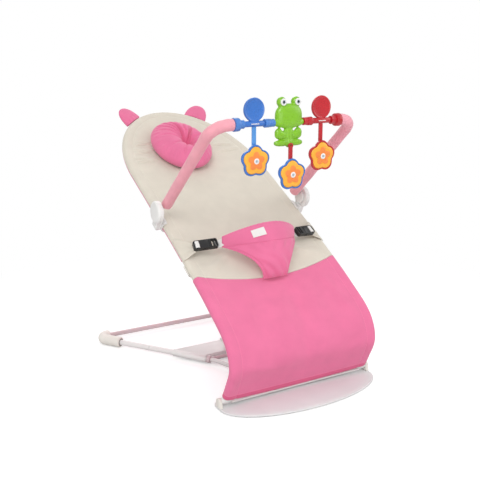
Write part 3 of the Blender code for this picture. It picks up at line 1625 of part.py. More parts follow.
def frog():
    """The green frog on the middle of the rod, with a pin below it for the rattle."""
    centre = Vector((FROG_X, BAR_CENTRE.y, BAR_CENTRE.z))

    def part(x, z, reach):
        return ball("part", centre + Vector((x, 0, z)), reach)

    body = ball("frog", centre + Vector((0, 0, FROG_HEAD_Z)), FROG_HEAD, 5, 12)
    tools = [part(0.0, FROG_TORSO_Z, FROG_TORSO)]
    for side in (-1, 1):
        tools.append(part(side * FROG_EYE_X, FROG_EYE_Z, FROG_EYE))
        tools.append(part(side * FROG_THIGH_X, FROG_THIGH_Z, FROG_THIGH))
        tools.append(part(side * FROG_FOOT_X, FROG_FOOT_Z, FROG_FOOT))
    reach = Vector((FROG_HALF, 0, 0))
    tools.append(pipe("stub", [centre - reach, centre + reach], TOY_HUB_R, sides=FINE))
    pin_at = centre + Vector((0, 0, RATTLE_PIN_Z))
    front = Vector((0, -1, 0))
    side, up = Vector((1, 0, 0)), Vector((0, 0, 1))
    neck = RATTLE_PIN_LENGTH - PIN_HEAD_THICK
    pin_loops = [
        ring(pin_at, side, up, RATTLE_PIN_R),
        ring(pin_at + front * neck, side, up, RATTLE_PIN_R),
        ring(pin_at + front * neck, side, up, RATTLE_PIN_R + PIN_HEAD),
        ring(pin_at + front * RATTLE_PIN_LENGTH, side, up, RATTLE_PIN_R + PIN_HEAD * HEAD_TAPER),
    ]
    tools.append(loft("pin", pin_loops))
    combine(body, tools, "UNION")
    past = reach + Vector((OVERRUN, 0, 0))
    combine(body, [pipe("bore", [centre - past, centre + past], HUB_BORE, sides=FINE)], "DIFFERENCE")
    finish(body, *GREEN)
    return body


def build():
    """Model every piece and hang the moving ones on their joints' empties."""
    seat_pivot = pivot("seat_pivot", Vector((0, PIVOT_Y, PIVOT_Z)))
    leg_pivot = pivot("leg_pivot", Vector((0, LEG_PIN_Y, LEG_PIN_Z)), seat_pivot)
    arch_pivot = pivot("arch_pivot", ARCH_PIVOT, seat_pivot)

    balance_board()
    hinge_clips()
    base_frame()
    adjuster_plate()
    cross_bar()

    seat = seat_tubes()
    seat.append(foot_rail())
    tube, tip = cross_tube()
    seat.append(tube)
    seat += leg_brackets(tip)
    seat += cover()
    seat += ears()
    seat.append(pillow())
    seat.append(waist_pad())
    seat += buckles()
    seat += waist_straps()
    seat += side_bands()
    seat += arch_clamps()
    for item in seat:
        attach(item, seat_pivot)

    attach(support_leg(), leg_pivot)

    for item in arch() + connectors():
        attach(item, arch_pivot)

    for name, x, colour, light in (("blue", BLUE_X, BLUE, SKY), ("red", RED_X, RED, RED)):
        bar = Vector((x, BAR_CENTRE.y, BAR_CENTRE.z))
        toy_pivot = pivot(name + "_toy_pivot", bar, arch_pivot)
        attach(paddle(name + "_paddle", x, colour), toy_pivot)
        top = bar - Vector((0, 0, TOY_HUB_R + GAP))
        length = STEM_DROP - TOY_HUB_R
        attach(stem(name + "_stem", top, length, light), toy_pivot)
        spot = top - Vector((0, 0, length))
        spin_pivot = pivot(name + "_flower_pivot", spot, toy_pivot)
        for item in flower(name + "_flower", spot, colour):
            attach(item, spin_pivot)

    bar = Vector((FROG_X, BAR_CENTRE.y, BAR_CENTRE.z))
    frog_pivot = pivot("frog_pivot", bar, arch_pivot)
    attach(frog(), frog_pivot)
    hang = bar + Vector((0, -RATTLE_OUT, RATTLE_PIN_Z))
    rattle_pivot = pivot("rattle_pivot", hang, frog_pivot)
    attach(stem("rattle_stem", hang, RATTLE_DROP, RED, True), rattle_pivot)
    spot = hang - Vector((0, 0, RATTLE_DROP))
    spin_pivot = pivot("rattle_flower_pivot", spot, rattle_pivot)
    for item in flower("rattle_flower", spot, BLUE):
        attach(item, spin_pivot)


build()
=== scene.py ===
# Looks of a baby bouncer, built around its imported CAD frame.
# Metres, +Z up. The seat faces -Y, its head end points to +Y, and X = 0 is the middle.

import json

import bmesh
import bpy
import numpy as np
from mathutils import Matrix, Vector
from mathutils.kdtree import KDTree

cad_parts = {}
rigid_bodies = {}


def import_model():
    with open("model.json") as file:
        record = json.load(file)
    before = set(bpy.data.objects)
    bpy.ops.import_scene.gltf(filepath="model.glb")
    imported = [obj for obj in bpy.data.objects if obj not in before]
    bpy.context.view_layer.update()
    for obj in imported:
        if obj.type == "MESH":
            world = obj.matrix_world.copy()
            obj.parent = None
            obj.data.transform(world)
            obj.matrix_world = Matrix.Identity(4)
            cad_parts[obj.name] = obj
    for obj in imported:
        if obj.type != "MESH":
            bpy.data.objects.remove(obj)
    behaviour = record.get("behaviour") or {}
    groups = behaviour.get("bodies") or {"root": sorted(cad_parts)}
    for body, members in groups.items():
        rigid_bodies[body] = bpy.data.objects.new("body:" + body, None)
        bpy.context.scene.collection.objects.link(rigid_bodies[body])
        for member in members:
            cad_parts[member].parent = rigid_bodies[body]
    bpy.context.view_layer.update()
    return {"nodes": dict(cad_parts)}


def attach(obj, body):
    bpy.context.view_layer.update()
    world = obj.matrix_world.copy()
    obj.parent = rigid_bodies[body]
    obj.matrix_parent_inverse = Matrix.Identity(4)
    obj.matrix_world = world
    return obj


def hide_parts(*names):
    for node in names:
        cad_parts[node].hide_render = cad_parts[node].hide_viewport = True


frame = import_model()
cad = frame["nodes"]


# Camera and studio. The camera stands low in front of the seat's left side. The studio is a pale
# floor that fades into a white surround, lit by four wide soft boxes and the surround itself.

CAMERA_PLACE = (-0.902, -1.294, 0.744)
CAMERA_TURN = np.radians(30.1)
CAMERA_DOWN = np.radians(13.9)
CAMERA_LENS = 55.9
SENSOR = 36.0
SURROUND_LIGHT = 0.74
FLOOR_HALF = 12.0
FLOOR_MIDDLE = (0.0, 0.25, 0.0)
FADE_START = 0.45
FADE_END = 1.1
PAPER = 0.72
PAPER_GLOW = 0.42
# Each box's name, place, the point that it faces, size and power.
SOFT_BOXES = (
    ("key_box", (-1.6, -1.6, 2.4), (0.0, 0.25, 0.25), 1.6, 38.0),
    ("fill_box", (2.2, -0.8, 1.6), (0.0, 0.25, 0.3), 1.8, 14.0),
    ("back_box", (0.6, 2.4, 2.0), (0.0, 0.25, 0.3), 1.6, 18.0),
    ("low_box", (-0.7, -2.0, 0.45), (0.0, 0.0, 0.12), 1.4, 9.0),
)


def placed(name, data):
    """A new object in the scene that shows a camera, a lamp or a mesh."""
    piece = bpy.data.objects.new(name, data)
    bpy.context.scene.collection.objects.link(piece)
    return piece


def facing(direction):
    """The turn that points a camera or a lamp along a direction."""
    return Vector(direction).to_track_quat("-Z", "Y").to_euler()


lens = bpy.data.cameras.new("studio_camera")
lens.lens = CAMERA_LENS
lens.sensor_width = SENSOR
camera = placed("studio_camera", lens)
camera.location = CAMERA_PLACE
level = np.cos(CAMERA_DOWN)
camera.rotation_euler = facing(
    (np.sin(CAMERA_TURN) * level, np.cos(CAMERA_TURN) * level, -np.sin(CAMERA_DOWN))
)
bpy.context.scene.camera = camera
bpy.context.scene.view_settings.view_transform = "Standard"

for name, place, aim, size, power in SOFT_BOXES:
    lamp = bpy.data.lights.new(name, "AREA")
    lamp.size = size
    lamp.energy = power
    box = placed(name, lamp)
    box.location = place
    box.rotation_euler = facing(Vector(aim) - Vector(place))


def feed(tree, sockets, values):
    """Link each named socket to the output given for it, or else set the socket's own value."""
    for key, value in values.items():
        if isinstance(value, bpy.types.NodeSocket):
            tree.links.new(value, sockets[key])
        else:
            sockets[key].default_value = value


def add_node(tree, kind, values, result=0, **settings):
    """A new shader node, set up and fed. It gives one of its outputs, or all of them for None."""
    node = tree.nodes.new("ShaderNode" + kind)
    for setting, choice in settings.items():
        setattr(node, setting, choice)
    feed(tree, node.inputs, values)
    return node.outputs if result is None else node.outputs[result]


world = bpy.data.worlds.new("white_surround")
world.use_nodes = True
bpy.context.scene.world = world
tree = world.node_tree
tree.nodes.clear()
rays = add_node(tree, "LightPath", {}, None)
seen = add_node(
    tree, "Math", {0: rays["Is Camera Ray"], 1: rays["Is Transmission Ray"]}, operation="MAXIMUM"
)
lit = add_node(tree, "Background", {"Color": (1.0, 0.99, 0.98, 1.0), "Strength": SURROUND_LIGHT})
shown = add_node(tree, "Background", {"Color": (1.0, 1.0, 1.0, 1.0)})
mixed = add_node(tree, "MixShader", {0: seen, 1: lit, 2: shown})
add_node(tree, "OutputWorld", {"Surface": mixed}, None)

floor_mesh = bpy.data.meshes.new("studio_floor")
corners = [(x * FLOOR_HALF, y * FLOOR_HALF, 0) for x, y in ((-1, -1), (1, -1), (1, 1), (-1, 1))]
floor_mesh.from_pydata(corners, [], [(0, 1, 2, 3)])
floor = placed("studio_floor", floor_mesh)
paper = bpy.data.materials.new("white_paper")
paper.use_nodes = True
tree = paper.node_tree
tree.nodes.clear()
matt = add_node(tree, "BsdfDiffuse", {"Color": (PAPER, PAPER, PAPER, 1.0)})
glow = add_node(tree, "Emission", {"Strength": PAPER_GLOW})
both = add_node(tree, "AddShader", {0: matt, 1: glow})
place = add_node(tree, "TexCoord", {}, "Object")
away = add_node(tree, "VectorMath", {0: place, 1: FLOOR_MIDDLE}, "Value", operation="DISTANCE")
fade = add_node(
    tree, "MapRange", {"Value": away, "From Min": FADE_START, "From Max": FADE_END}, "Result",
    interpolation_type="SMOOTHSTEP",
)
faded = add_node(tree, "MixShader", {0: fade, 1: both, 2: add_node(tree, "Emission", {})})
rays = add_node(tree, "LightPath", {}, None)
mixed = add_node(tree, "MixShader", {0: rays["Is Camera Ray"], 1: matt, 2: faded})
add_node(tree, "OutputMaterial", {"Surface": mixed}, None)
floor.data.materials.append(paper)


# Balance board. A moulded plastic shell with a low crown and a rolled rim, on a thin rubber
# sheet, with two sockets at its tail for the rods of the base.

BOARD_HALF = 0.204
BOARD_NOSE = 0.088
BOARD_LINE = -0.007
BOARD_TAIL = 0.040
BOARD_CORNER = 0.026
BOARD_FOOT = 0.0015
BOARD_EDGE = 0.0045
BOARD_DOME = 0.0040
BOARD_GROOVE = 0.0007
BOARD_GROOVE_AT = 0.965
BOARD_GROOVE_WIDE = 0.006
BASE_HIGH = 0.0138
ROD_X = 0.066
SOCKET_R = 0.0082
RIGHT = np.array([1.0, 0.0, 0.0])
UP = np.array([0.0, 0.0, 1.0])


def grid_quads(rows, columns, close_rows=False, close_columns=False):
    """Quads between neighbouring points of a grid, wrapped round where a direction is closed."""
    i = np.arange(rows if close_rows else rows - 1)[:, None]
    j = np.arange(columns if close_columns else columns - 1)[None, :]
    a = i * columns + j
    b = i * columns + (j + 1) % columns
    c = (i + 1) % rows * columns + (j + 1) % columns
    d = (i + 1) % rows * columns + j
    return np.stack([a, b, c, d], -1).reshape(-1, 4)


def ringed(points, hollow=False):
    """A part made of closed loops of points, whose last loop meets the first where hollow."""
    return points, grid_quads(*points.shape[:2], hollow, close_columns=True)


def full_turn(count):
    """Angles spread evenly round a circle."""
    return np.linspace(0, 2 * np.pi, count, endpoint=False)


def bell(value, width, centre=0.0):
    """A smooth bump of height 1 at a centre: exp(-((value - centre) / width)^2)."""
    return np.exp(-(((value - centre) / width) ** 2))


def signed_power(value, power):
    """A power of a value's size, with the value's own sign."""
    return np.sign(value) * np.abs(value) ** power


def cleaned(mesh, join, sliver=None, flatness=None, close=False):
    """Merge a mesh's doubled points; drop slivers, join flat faces or close holes where asked."""
    shape = bmesh.new()
    shape.from_mesh(mesh)
    bmesh.ops.remove_doubles(shape, verts=shape.verts, dist=join)
    if sliver:
        bmesh.ops.dissolve_degenerate(shape, dist=sliver, edges=shape.edges)
    if flatness:
        bmesh.ops.dissolve_limit(
            shape, angle_limit=flatness, verts=shape.verts, edges=shape.edges
        )
    if close:
        bmesh.ops.holes_fill(shape, edges=shape.edges, sides=0)
        bmesh.ops.recalc_face_normals(shape, faces=shape.faces)
    shape.to_mesh(mesh)
    shape.free()
    mesh.shade_smooth()


def piece_from(name, parts):
    """One mesh object from (points, quads) parts, each turned outwards if it is closed.

    A part's signed volume is a sixth of the sum of a . (b x c) over its triangles.
    """
    vertices, faces, start = [], [], 0
    for points, quads in parts:
        points = np.asarray(points, float).reshape(-1, 3)
        a, b, c, d = (points[quads[:, k]] - points.mean(0) for k in range(4))
        volume = np.einsum("ij,ij->", a, np.cross(b, c)) + np.einsum("ij,ij->", a, np.cross(c, d))
        faces.append((quads if volume > 0 else quads[:, ::-1]) + start)
        vertices.append(points)
        start += len(points)
    mesh = bpy.data.meshes.new(name)
    mesh.from_pydata(np.concatenate(vertices).tolist(), [], np.concatenate(faces).tolist())
    cleaned(mesh, 1e-6, sliver=1e-7)
    mesh.set_sharp_from_angle(angle=np.radians(38))
    return placed(name, mesh)


def unit(vectors):
    """The vectors, each divided by its length."""
    return vectors / np.linalg.norm(vectors, axis=-1, keepdims=True)


def tube_part(path, radius, side, sides=28, edge=0.0006):
    """A closed round bar along a path: P(s) + r(s) (S cos t + U sin t), S and U across the path.

    S is the side direction made square to the path's tangent, and U is tangent x S. At each end
    the radius falls by a small rounded edge and then to nothing, which closes it.
    """
    path = np.asarray(path, float)
    radius = np.broadcast_to(np.asarray(radius, float), len(path))
    tangent = unit(np.gradient(path, axis=0))
    across = np.broadcast_to(np.asarray(side, float), path.shape)
    across = unit(across - tangent * np.sum(across * tangent, 1, keepdims=True))
    other = np.cross(tangent, across)
    first = path[0] + tangent[0] * edge
    last = path[-1] - tangent[-1] * edge
    path = np.vstack([path[:1], path[:1], first, path[1:-1], last, path[-1:], path[-1:]])
    start_cap = [0.0, radius[0] - edge, radius[0]]
    end_cap = [radius[-1], radius[-1] - edge, 0.0]
    radius = np.concatenate([start_cap, radius[1:-1], end_cap])
    across = np.vstack([across[:1]] * 2 + [across] + [across[-1:]] * 2)[:, None]
    other = np.vstack([other[:1]] * 2 + [other] + [other[-1:]] * 2)[:, None]
    turn = full_turn(sides)[None, :, None]
    circle = across * np.cos(turn) + other * np.sin(turn)
    return ringed(path[:, None] + circle * radius[:, None, None])


def line(start, end, count=2):
    """Points on the straight line between two places."""
    share = np.linspace(0, 1, count)[:, None]
    return np.asarray(start, float) * (1 - share) + np.asarray(end, float) * share


def board_outline(inset):
    """The board's rim from above: half an ellipse in front, a straight tail with round corners."""
    turn = np.linspace(np.pi, 2 * np.pi, 180)
    x = np.cos(turn) * (BOARD_HALF - inset)
    front = np.stack([x, np.sin(turn) * (BOARD_NOSE - inset) + BOARD_LINE], 1)
    corner = BOARD_CORNER - inset
    turn = np.linspace(0, np.pi / 2, 14)
    x = BOARD_HALF - inset - corner
    y = BOARD_TAIL - inset - corner
    right = np.stack([x + corner * np.cos(turn), y + corner * np.sin(turn)], 1)
    left = right[::-1] * (-1, 1)
    tail = line(right[-1], left[0], 60)[1:-1]
    up, down = line(front[-1], right[0], 6)[1:-1], line(left[-1], front[0], 6)[1:-1]
    return np.concatenate([front, up, right, tail, left, down])


def board_high(x, y):
    """Height of the crown: the rim's height plus the dome times 1 - q^1.5.

    q is the squared share of the reach to the rim, across and along together.
    """
    depth = np.where(y < BOARD_LINE, BOARD_NOSE, 4 * BOARD_TAIL)
    q = (x / BOARD_HALF) ** 2 + ((y - BOARD_LINE) / depth) ** 2
    return BOARD_FOOT + BOARD_EDGE + BOARD_DOME * np.clip(1 - q ** 1.5, 0, 1)


def board_shell():
    """The shell as loops of the rim: up a rounded edge, over a shallow groove, to the middle."""
    middle = np.array([0.0, (BOARD_TAIL + BOARD_LINE) / 2])
    rim = board_outline(0.0)
    half = BOARD_EDGE / 2
    foot = np.repeat(middle[None], len(rim), 0)
    loops = [np.column_stack([foot, np.full(len(rim), BOARD_FOOT)])]
    for turn in np.linspace(-np.pi / 2, np.pi / 2, 9):
        flat = board_outline(half * 0.8 * (1 - np.cos(turn)))
        height = BOARD_FOOT + half + half * np.sin(turn)
        loops.append(np.column_stack([flat, np.full(len(flat), height)]))
    for share in np.concatenate([[0.985, 0.975, 0.965, 0.955], np.linspace(0.94, 0.0, 26)]):
        flat = middle + (rim - middle) * share
        groove = BOARD_GROOVE * bell(share, BOARD_GROOVE_WIDE, BOARD_GROOVE_AT)
        loops.append(np.column_stack([flat, board_high(flat[:, 0], flat[:, 1]) - groove]))
    return ringed(np.array(loops))


def speckled(tree, scale, low=0.0, high=1.0, detail=4.0):
    """A noise value on Object coordinates, spread over a range of greys."""
    place = add_node(tree, "TexCoord", {}, "Object")
    noise = add_node(tree, "TexNoise", {"Vector": place, "Scale": scale, "Detail": detail}, "Fac")
    spread = {"Value": noise, "From Min": 0.35, "From Max": 0.65, "To Min": low, "To Max": high}
    return add_node(tree, "MapRange", spread, "Result")


def blended(tree, first, second, factor):
    """One colour mixed into another by a factor."""
    colours = {"A": first, "B": second, "Factor": factor}
    return add_node(tree, "Mix", colours, "Result", data_type="RGBA")


def shaded(colour, shade=1.0):
    """A colour darkened to a shade of itself, as a socket takes it."""
    return (*[c * shade for c in colour], 1.0)


def tinted(tree, colour, factor, shade):
    """The colour mixed towards a shade of itself by a factor."""
    return blended(tree, shaded(colour), shaded(colour, shade), factor)


def raised(tree, height, depth, strength=1.0, under=None):
    """A bump of a real depth in metres, laid over another bump where one is given."""
    values = {"Strength": strength, "Distance": depth, "Height": height}
    if under is not None:
        values["Normal"] = under
    return add_node(tree, "Bump", values, "Normal")


def new_finish(name):
    """A new material: it, its node tree and its shader's sockets."""
    material = bpy.data.materials.new(name)
    material.use_nodes = True
    tree = material.node_tree
    return material, tree, tree.nodes["Principled BSDF"].inputs


def surfaced(name, colour, shade, clouds, gloss, scuffs, grain, depth, sockets=None):
    """A finish with clouds of a deeper shade, scuffs in its gloss and a fine raised grain.

    Clouds, scuffs and grain are the scales of their noise, gloss is the (low, high) roughness,
    and depth is the height of the grain.
    """
    material, tree, shader = new_finish(name)
    feed(tree, shader, {
        "Base Color": tinted(tree, colour, speckled(tree, clouds), shade),
        "Roughness": speckled(tree, scuffs, *gloss),
        "Normal": raised(tree, speckled(tree, grain), depth),
        **(sockets or {}),
    })
    return material


def moulded_plastic(name, colour, rough, shade=0.9, coat=0.0, grain=0.00003):
    """Injection-moulded plastic: an even colour with faint flow clouds, fine grain and scuffs."""
    return surfaced(
        name, colour, shade, clouds=14.0, gloss=(rough - 0.05, rough + 0.07), scuffs=55.0,
        grain=900.0, depth=grain, sockets={"Coat Weight": coat, "Coat Roughness": 0.15},
    )


def dress(piece, material, body, *nodes):
    """Give a new piece its material and body, and let it stand for its CAD nodes."""
    piece.data.materials.clear()
    piece.data.materials.append(material)
    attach(piece, body)
    if nodes:
        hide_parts(*nodes)
    return piece


def made(name, parts, material, body, *nodes):
    """A rigid piece built from its parts and dressed."""
    return dress(piece_from(name, parts), material, body, *nodes)


white_plastic = moulded_plastic("white_plastic", (0.80, 0.795, 0.78), 0.34, 0.94, 0.15)
cream_plastic = moulded_plastic("cream_plastic", (0.78, 0.755, 0.70), 0.38, 0.93)
board_plastic = moulded_plastic(
    "board_plastic", (0.69, 0.69, 0.695), 0.45, 0.96, grain=0.00001
)

board_parts = [board_shell()]
for side in (-1, 1):
    mouth = (side * ROD_X, BOARD_TAIL + 0.024, BASE_HIGH)
    root = (side * ROD_X, BOARD_TAIL - 0.022, BASE_HIGH)
    radii = [SOCKET_R - 0.0004, SOCKET_R, SOCKET_R]
    board_parts.append(tube_part(line(root, mouth, 3), radii, RIGHT))
made("board_shell", board_parts, board_plastic, "base", "balance_board")

rubber = surfaced(
    "grip_rubber", (0.055, 0.055, 0.056), 0.7, clouds=60.0, gloss=(0.72, 0.9), scuffs=90.0,
    grain=700.0, depth=0.0001,
)
cad["board_grip"].data.materials.clear()
cad["board_grip"].data.materials.append(rubber)


# Foot hinge. The seat's foot rail is a moulded bar with a collar at each end for the seat's
# tube; its pins turn in two bearing blocks screwed to the tips of the board.


def eased(node, name, width, material, body, segments=2):
    """A dressed copy of a CAD node, its loose triangles merged and its sharp edges rounded."""
    piece = placed(name, cad[node].data.copy())
    cleaned(piece.data, 1e-6, flatness=np.radians(1.0))
    bevel = piece.modifiers.new("rounded_edges", "BEVEL")
    bevel.width = width
    bevel.segments = segments
    bevel.limit_method = "ANGLE"
    bevel.angle_limit = np.radians(40)
    bevel.harden_normals = True
    dress(piece, material, body, node)


for side in ("left", "right"):
    eased("hinge_clip_" + side, "bearing_block_" + side, 0.0008, cream_plastic, "base")
eased("foot_rail", "foot_bar", 0.0005, white_plastic, "seat")


# Base frame. Powder-coated steel tubes: a straight rear bar and two side tubes that meet in
# moulded elbow feet, and thinner rods that telescope into the side tubes and run to the board.

REAR_Y = 0.515
REAR_X = 0.298
SLEEVE_REAR = np.array([0.165, 0.322, BASE_HIGH])
SLEEVE_FRONT = np.array([0.108, 0.238, BASE_HIGH])
REAR_BAR_R = 0.0060
SIDE_TUBE_R = 0.0070
ROD_R = 0.0052
SLEEVE_R = 0.0090
ELBOW_R = 0.0138
ELBOW_BEND = 0.018
ELBOW_BAR_END = 0.038
ELBOW_SIDE_END = 0.080
ELBOW_DEPTH = 0.012
MOUTH_WALL = 0.0030
TUBE_BEND = 0.09
ROD_BEND = 0.05
ROD_RUN = 0.026
ROD_KNEE_Y = 0.125
END_GAP = 0.001
# The two sides, each with the factors that carry the right side's points over to it.
SIDES = (("right", np.array([1, 1, 1])), ("left", np.array([-1, 1, 1])))


def mirrored(points):
    """The same points on the other side of the middle plane."""
    return np.asarray(points) * (-1, 1, 1)


def rounded_corner(before, corner, after, radius, count=12):
    """An arc of one radius that touches both legs of a corner, worked out from its centre."""
    a, b = unit(np.asarray(before) - corner), unit(np.asarray(after) - corner)
    half = np.arccos(np.clip(a @ b, -1, 1)) / 2
    centre = corner + unit(a + b) * radius / np.sin(half)
    first = corner + a * radius / np.tan(half) - centre
    last = corner + b * radius / np.tan(half) - centre
    along = unit(last - first * (last @ first) / radius ** 2) * radius
    turn = np.linspace(0, np.pi - 2 * half, count)[:, None]
    return centre + first * np.cos(turn) + along * np.sin(turn)


def coated_steel(name, colour, rough=0.32):
    """Powder-coated steel tube: a satin coat with a faint orange-peel surface."""
    material = moulded_plastic(
        name, colour, rough, shade=0.93, coat=0.25, grain=0.00002
    )
    material.node_tree.nodes["Principled BSDF"].inputs["Metallic"].default_value = 0.08
    return material


white_steel = coated_steel("white_steel", (0.79, 0.775, 0.765))
# Pinkish grey: painted shade and painted pink reflection on the white-coated rear and cross bars.
shade_and_reflection_steel = coated_steel("shade_and_reflection_steel", (0.66, 0.535, 0.555))
# Dark grey rings in the elbows' mouths: painted shade in the hollows where the tubes go in.
mouth_shade_plastic = moulded_plastic("elbow_mouth_painted_shade", (0.27, 0.25, 0.23), 0.5)

corner = np.array([REAR_X, REAR_Y, BASE_HIGH])
run = unit(SLEEVE_REAR - corner)
lead = unit(SLEEVE_FRONT - SLEEVE_REAR)
inward = -RIGHT
bar_end = corner + inward * (ELBOW_BAR_END - ELBOW_DEPTH + END_GAP)
rear_bar = tube_part(line(bar_end, mirrored(bar_end), 3), REAR_BAR_R, UP)
made("rear_tube", [rear_bar], shade_and_reflection_steel, "base", "rear_bar")

bar_mouth = corner + inward * ELBOW_BAR_END
tube_mouth = corner + run * ELBOW_SIDE_END
bend = rounded_corner(corner + inward, corner, corner + run, ELBOW_BEND, 16)
elbow_path = np.vstack([bar_mouth, bend, line(bend[-1], tube_mouth, 5)[1:]])
mouths = (tube_mouth, run, SIDE_TUBE_R), (bar_mouth, inward, REAR_BAR_R)
start = corner + run * (ELBOW_SIDE_END - ELBOW_DEPTH + END_GAP)
bend = rounded_corner(start, SLEEVE_REAR, SLEEVE_FRONT, TUBE_BEND, 10)
tube_path = np.vstack([start, bend, SLEEVE_FRONT])
straight = SLEEVE_FRONT + lead * ROD_RUN
knee = np.array([ROD_X, ROD_KNEE_Y, BASE_HIGH])
tail = np.array([ROD_X, BOARD_TAIL - 0.0137, BASE_HIGH])
first = rounded_corner(SLEEVE_FRONT, straight, knee, ROD_BEND, 8)
second = rounded_corner(straight, knee, tail, ROD_BEND, 8)
rod_path = np.vstack([SLEEVE_FRONT + lead * END_GAP, first, second, tail])
tubes = ("side_tube_", tube_path, SIDE_TUBE_R), ("front_rod_", rod_path, ROD_R)
for side, flip in SIDES:
    part = tube_part(elbow_path * flip, ELBOW_R, UP, 40, 0.0022)
    elbow = made("elbow_foot_" + side, [part], cream_plastic, "base", "elbow_" + side)
    # Each mouth's dark grey ring is painted shade where a tube goes in.
    rings = []
    for place, out, inner in mouths:
        ring = line(place - out * 0.002, place + out * 0.0006, 3)
        rings.append(tube_part(ring * flip, inner + MOUTH_WALL, UP, 36, 0.0004))
    mouth_shade_piece = made("elbow_mouth_shade_rings_" + side, rings, mouth_shade_plastic, "base")
    mouth_shade_piece.parent = elbow
    mouth_shade_piece.matrix_parent_inverse.identity()
    for name, path, radius in tubes:
        tube = tube_part(path * flip, radius, UP)
        made(name + side + "_coated", [tube], white_steel, "base", name + side)

# The plate is moulded in one with the sleeves that grip the side tubes, and its rack has three
# rounded notches; the bar in front of it ends in two caps where the thin rods come out. Its
# pinkish grey is painted shade and painted pink reflection on white-coated steel.

eased("adjuster_plate", "notched_plate", 0.0010, white_plastic, "base")
cap = line(SLEEVE_FRONT + lead * 0.0004, SLEEVE_FRONT + lead * 0.0102, 3)
cap_radii = [SLEEVE_R, SLEEVE_R + 0.0004, SLEEVE_R]
cap_parts = [tube_part(cap * flip, cap_radii, UP, 36, 0.0012) for _, flip in SIDES]
middle = SLEEVE_FRONT + lead * 0.0053
cap_parts.append(tube_part(line(middle, mirrored(middle), 3), 0.0045, UP))
made("shade_and_reflection_cross_bar", cap_parts, shade_and_reflection_steel, "base", "cross_bar")


# Seat frame. One steel tube bent into an S seen from the side and closed by a hoop at the head,
# in three lengths that plug into each other, with a bowed tube below that carries the leg.

TUBE_R = 0.008
SEAT_HALF = 0.184
PIVOT = np.array([0.006, 0.0195])
SEAT_CURVE = np.array([
    PIVOT,
    (-0.012, 0.055),
    (-0.030, 0.103),
    (-0.012, 0.152),
    (0.067, 0.213),
    (0.230, 0.311),
    (0.400, 0.404),
])
BACK_SLOPE = np.radians(28)
BACK_ALONG = np.array([0.0, np.cos(BACK_SLOPE), np.sin(BACK_SLOPE)])
BACK_NORMAL = np.array([0.0, -np.sin(BACK_SLOPE), np.cos(BACK_SLOPE)])
BACK_START = np.array([0.0, *SEAT_CURVE[-1]])
HEAD_START = 0.090
HEAD_REACH = 0.270
HEAD_JOINT = 0.050
FOOT_START = 0.0055
JOINT_GAP = 0.0002


def centripetal(points, steps):
    """A centripetal Catmull-Rom curve, whose knots are the square roots of the chords."""
    p = np.vstack([2 * points[0] - points[1], points, 2 * points[-1] - points[-2]])
    knots = np.concatenate([[0], np.cumsum(np.sqrt(np.linalg.norm(np.diff(p, axis=0), axis=1)))])
    share = np.linspace(0, 1, steps, endpoint=False)
    curve = []
    for k in range(1, len(p) - 2):
        t0, t1, t2, t3 = knots[k - 1:k + 3]
        t = (t1 + (t2 - t1) * share)[:, None]
        a1 = p[k - 1] * (t1 - t) / (t1 - t0) + p[k] * (t - t0) / (t1 - t0)
        a2 = p[k] * (t2 - t) / (t2 - t1) + p[k + 1] * (t - t1) / (t2 - t1)
        a3 = p[k + 1] * (t3 - t) / (t3 - t2) + p[k + 2] * (t - t2) / (t3 - t2)
        b1 = a1 * (t2 - t) / (t2 - t0) + a2 * (t - t0) / (t2 - t0)
        b2 = a2 * (t3 - t) / (t3 - t1) + a3 * (t - t1) / (t3 - t1)
        curve.append(b1 * (t2 - t) / (t2 - t1) + b2 * (t - t1) / (t2 - t1))
    return np.vstack([*curve, points[-1:]])


def lengths_along(points):
    """Distance of each point of a polyline from its start."""
    return np.concatenate([[0], np.cumsum(np.linalg.norm(np.diff(points, axis=0), axis=1))])


def evenly(points, distances):
    """Points of a polyline at given distances along it."""
    steps = lengths_along(points)
    return np.stack([np.interp(distances, steps, points[:, k]) for k in range(3)], 1)


side_line = centripetal(SEAT_CURVE, 24)
side_line = np.column_stack([np.full(len(side_line), SEAT_HALF), side_line])
crown_turn = np.linspace(0, np.pi / 2, 90)[:, None]
crown = BACK_START + RIGHT * SEAT_HALF * np.cos(crown_turn)
crown = crown + BACK_ALONG * (HEAD_START + HEAD_REACH * np.sin(crown_turn))
seat_line = np.vstack([side_line, crown])
seat_lengths = lengths_along(seat_line)
CROWN = seat_lengths[-1]


def stations(distances):
    """Centre, tangent, seat normal and outward direction of the right tube at distances."""
    centre = evenly(seat_line, distances)
    step = 0.002
    tangent = unit(evenly(seat_line, distances + step) - evenly(seat_line, distances - step))
    tangent = np.where((distances > CROWN - step)[:, None], (-1.0, 0.0, 0.0), tangent)
    flat = tangent * (0, 1, 1)
    flat = np.where(centre[:, 1:2] < BACK_START[1] - 0.002, flat, BACK_ALONG)
    normal = unit(np.stack([0 * flat[:, 0], -flat[:, 2], flat[:, 1]], 1))
    return centre, tangent, normal, np.cross(tangent, normal)


def distance_at_y(y):
    """Distance along the tube where its rising run reaches a depth y."""
    rising = seat_lengths > 0.20
    return np.interp(y, seat_line[rising, 1], seat_lengths[rising])


head_joint = distance_at_y((BACK_START + BACK_ALONG * HEAD_JOINT)[1])
side_path = stations(np.linspace(FOOT_START, head_joint - JOINT_GAP, 110))[0]
for side, flip in SIDES:
    tube = tube_part(side_path * flip, TUBE_R, RIGHT)
    made("seat_tube_" + side + "_coated", [tube], white_steel, "seat", "seat_tube_" + side)
hoop = stations(np.linspace(head_joint + JOINT_GAP, CROWN, 90))[0]
hoop = np.vstack([hoop, mirrored(hoop)[-2::-1]])
hoop_part = tube_part(hoop, TUBE_R, BACK_NORMAL)
made("head_hoop_coated", [hoop_part], white_steel, "seat", "head_tube")

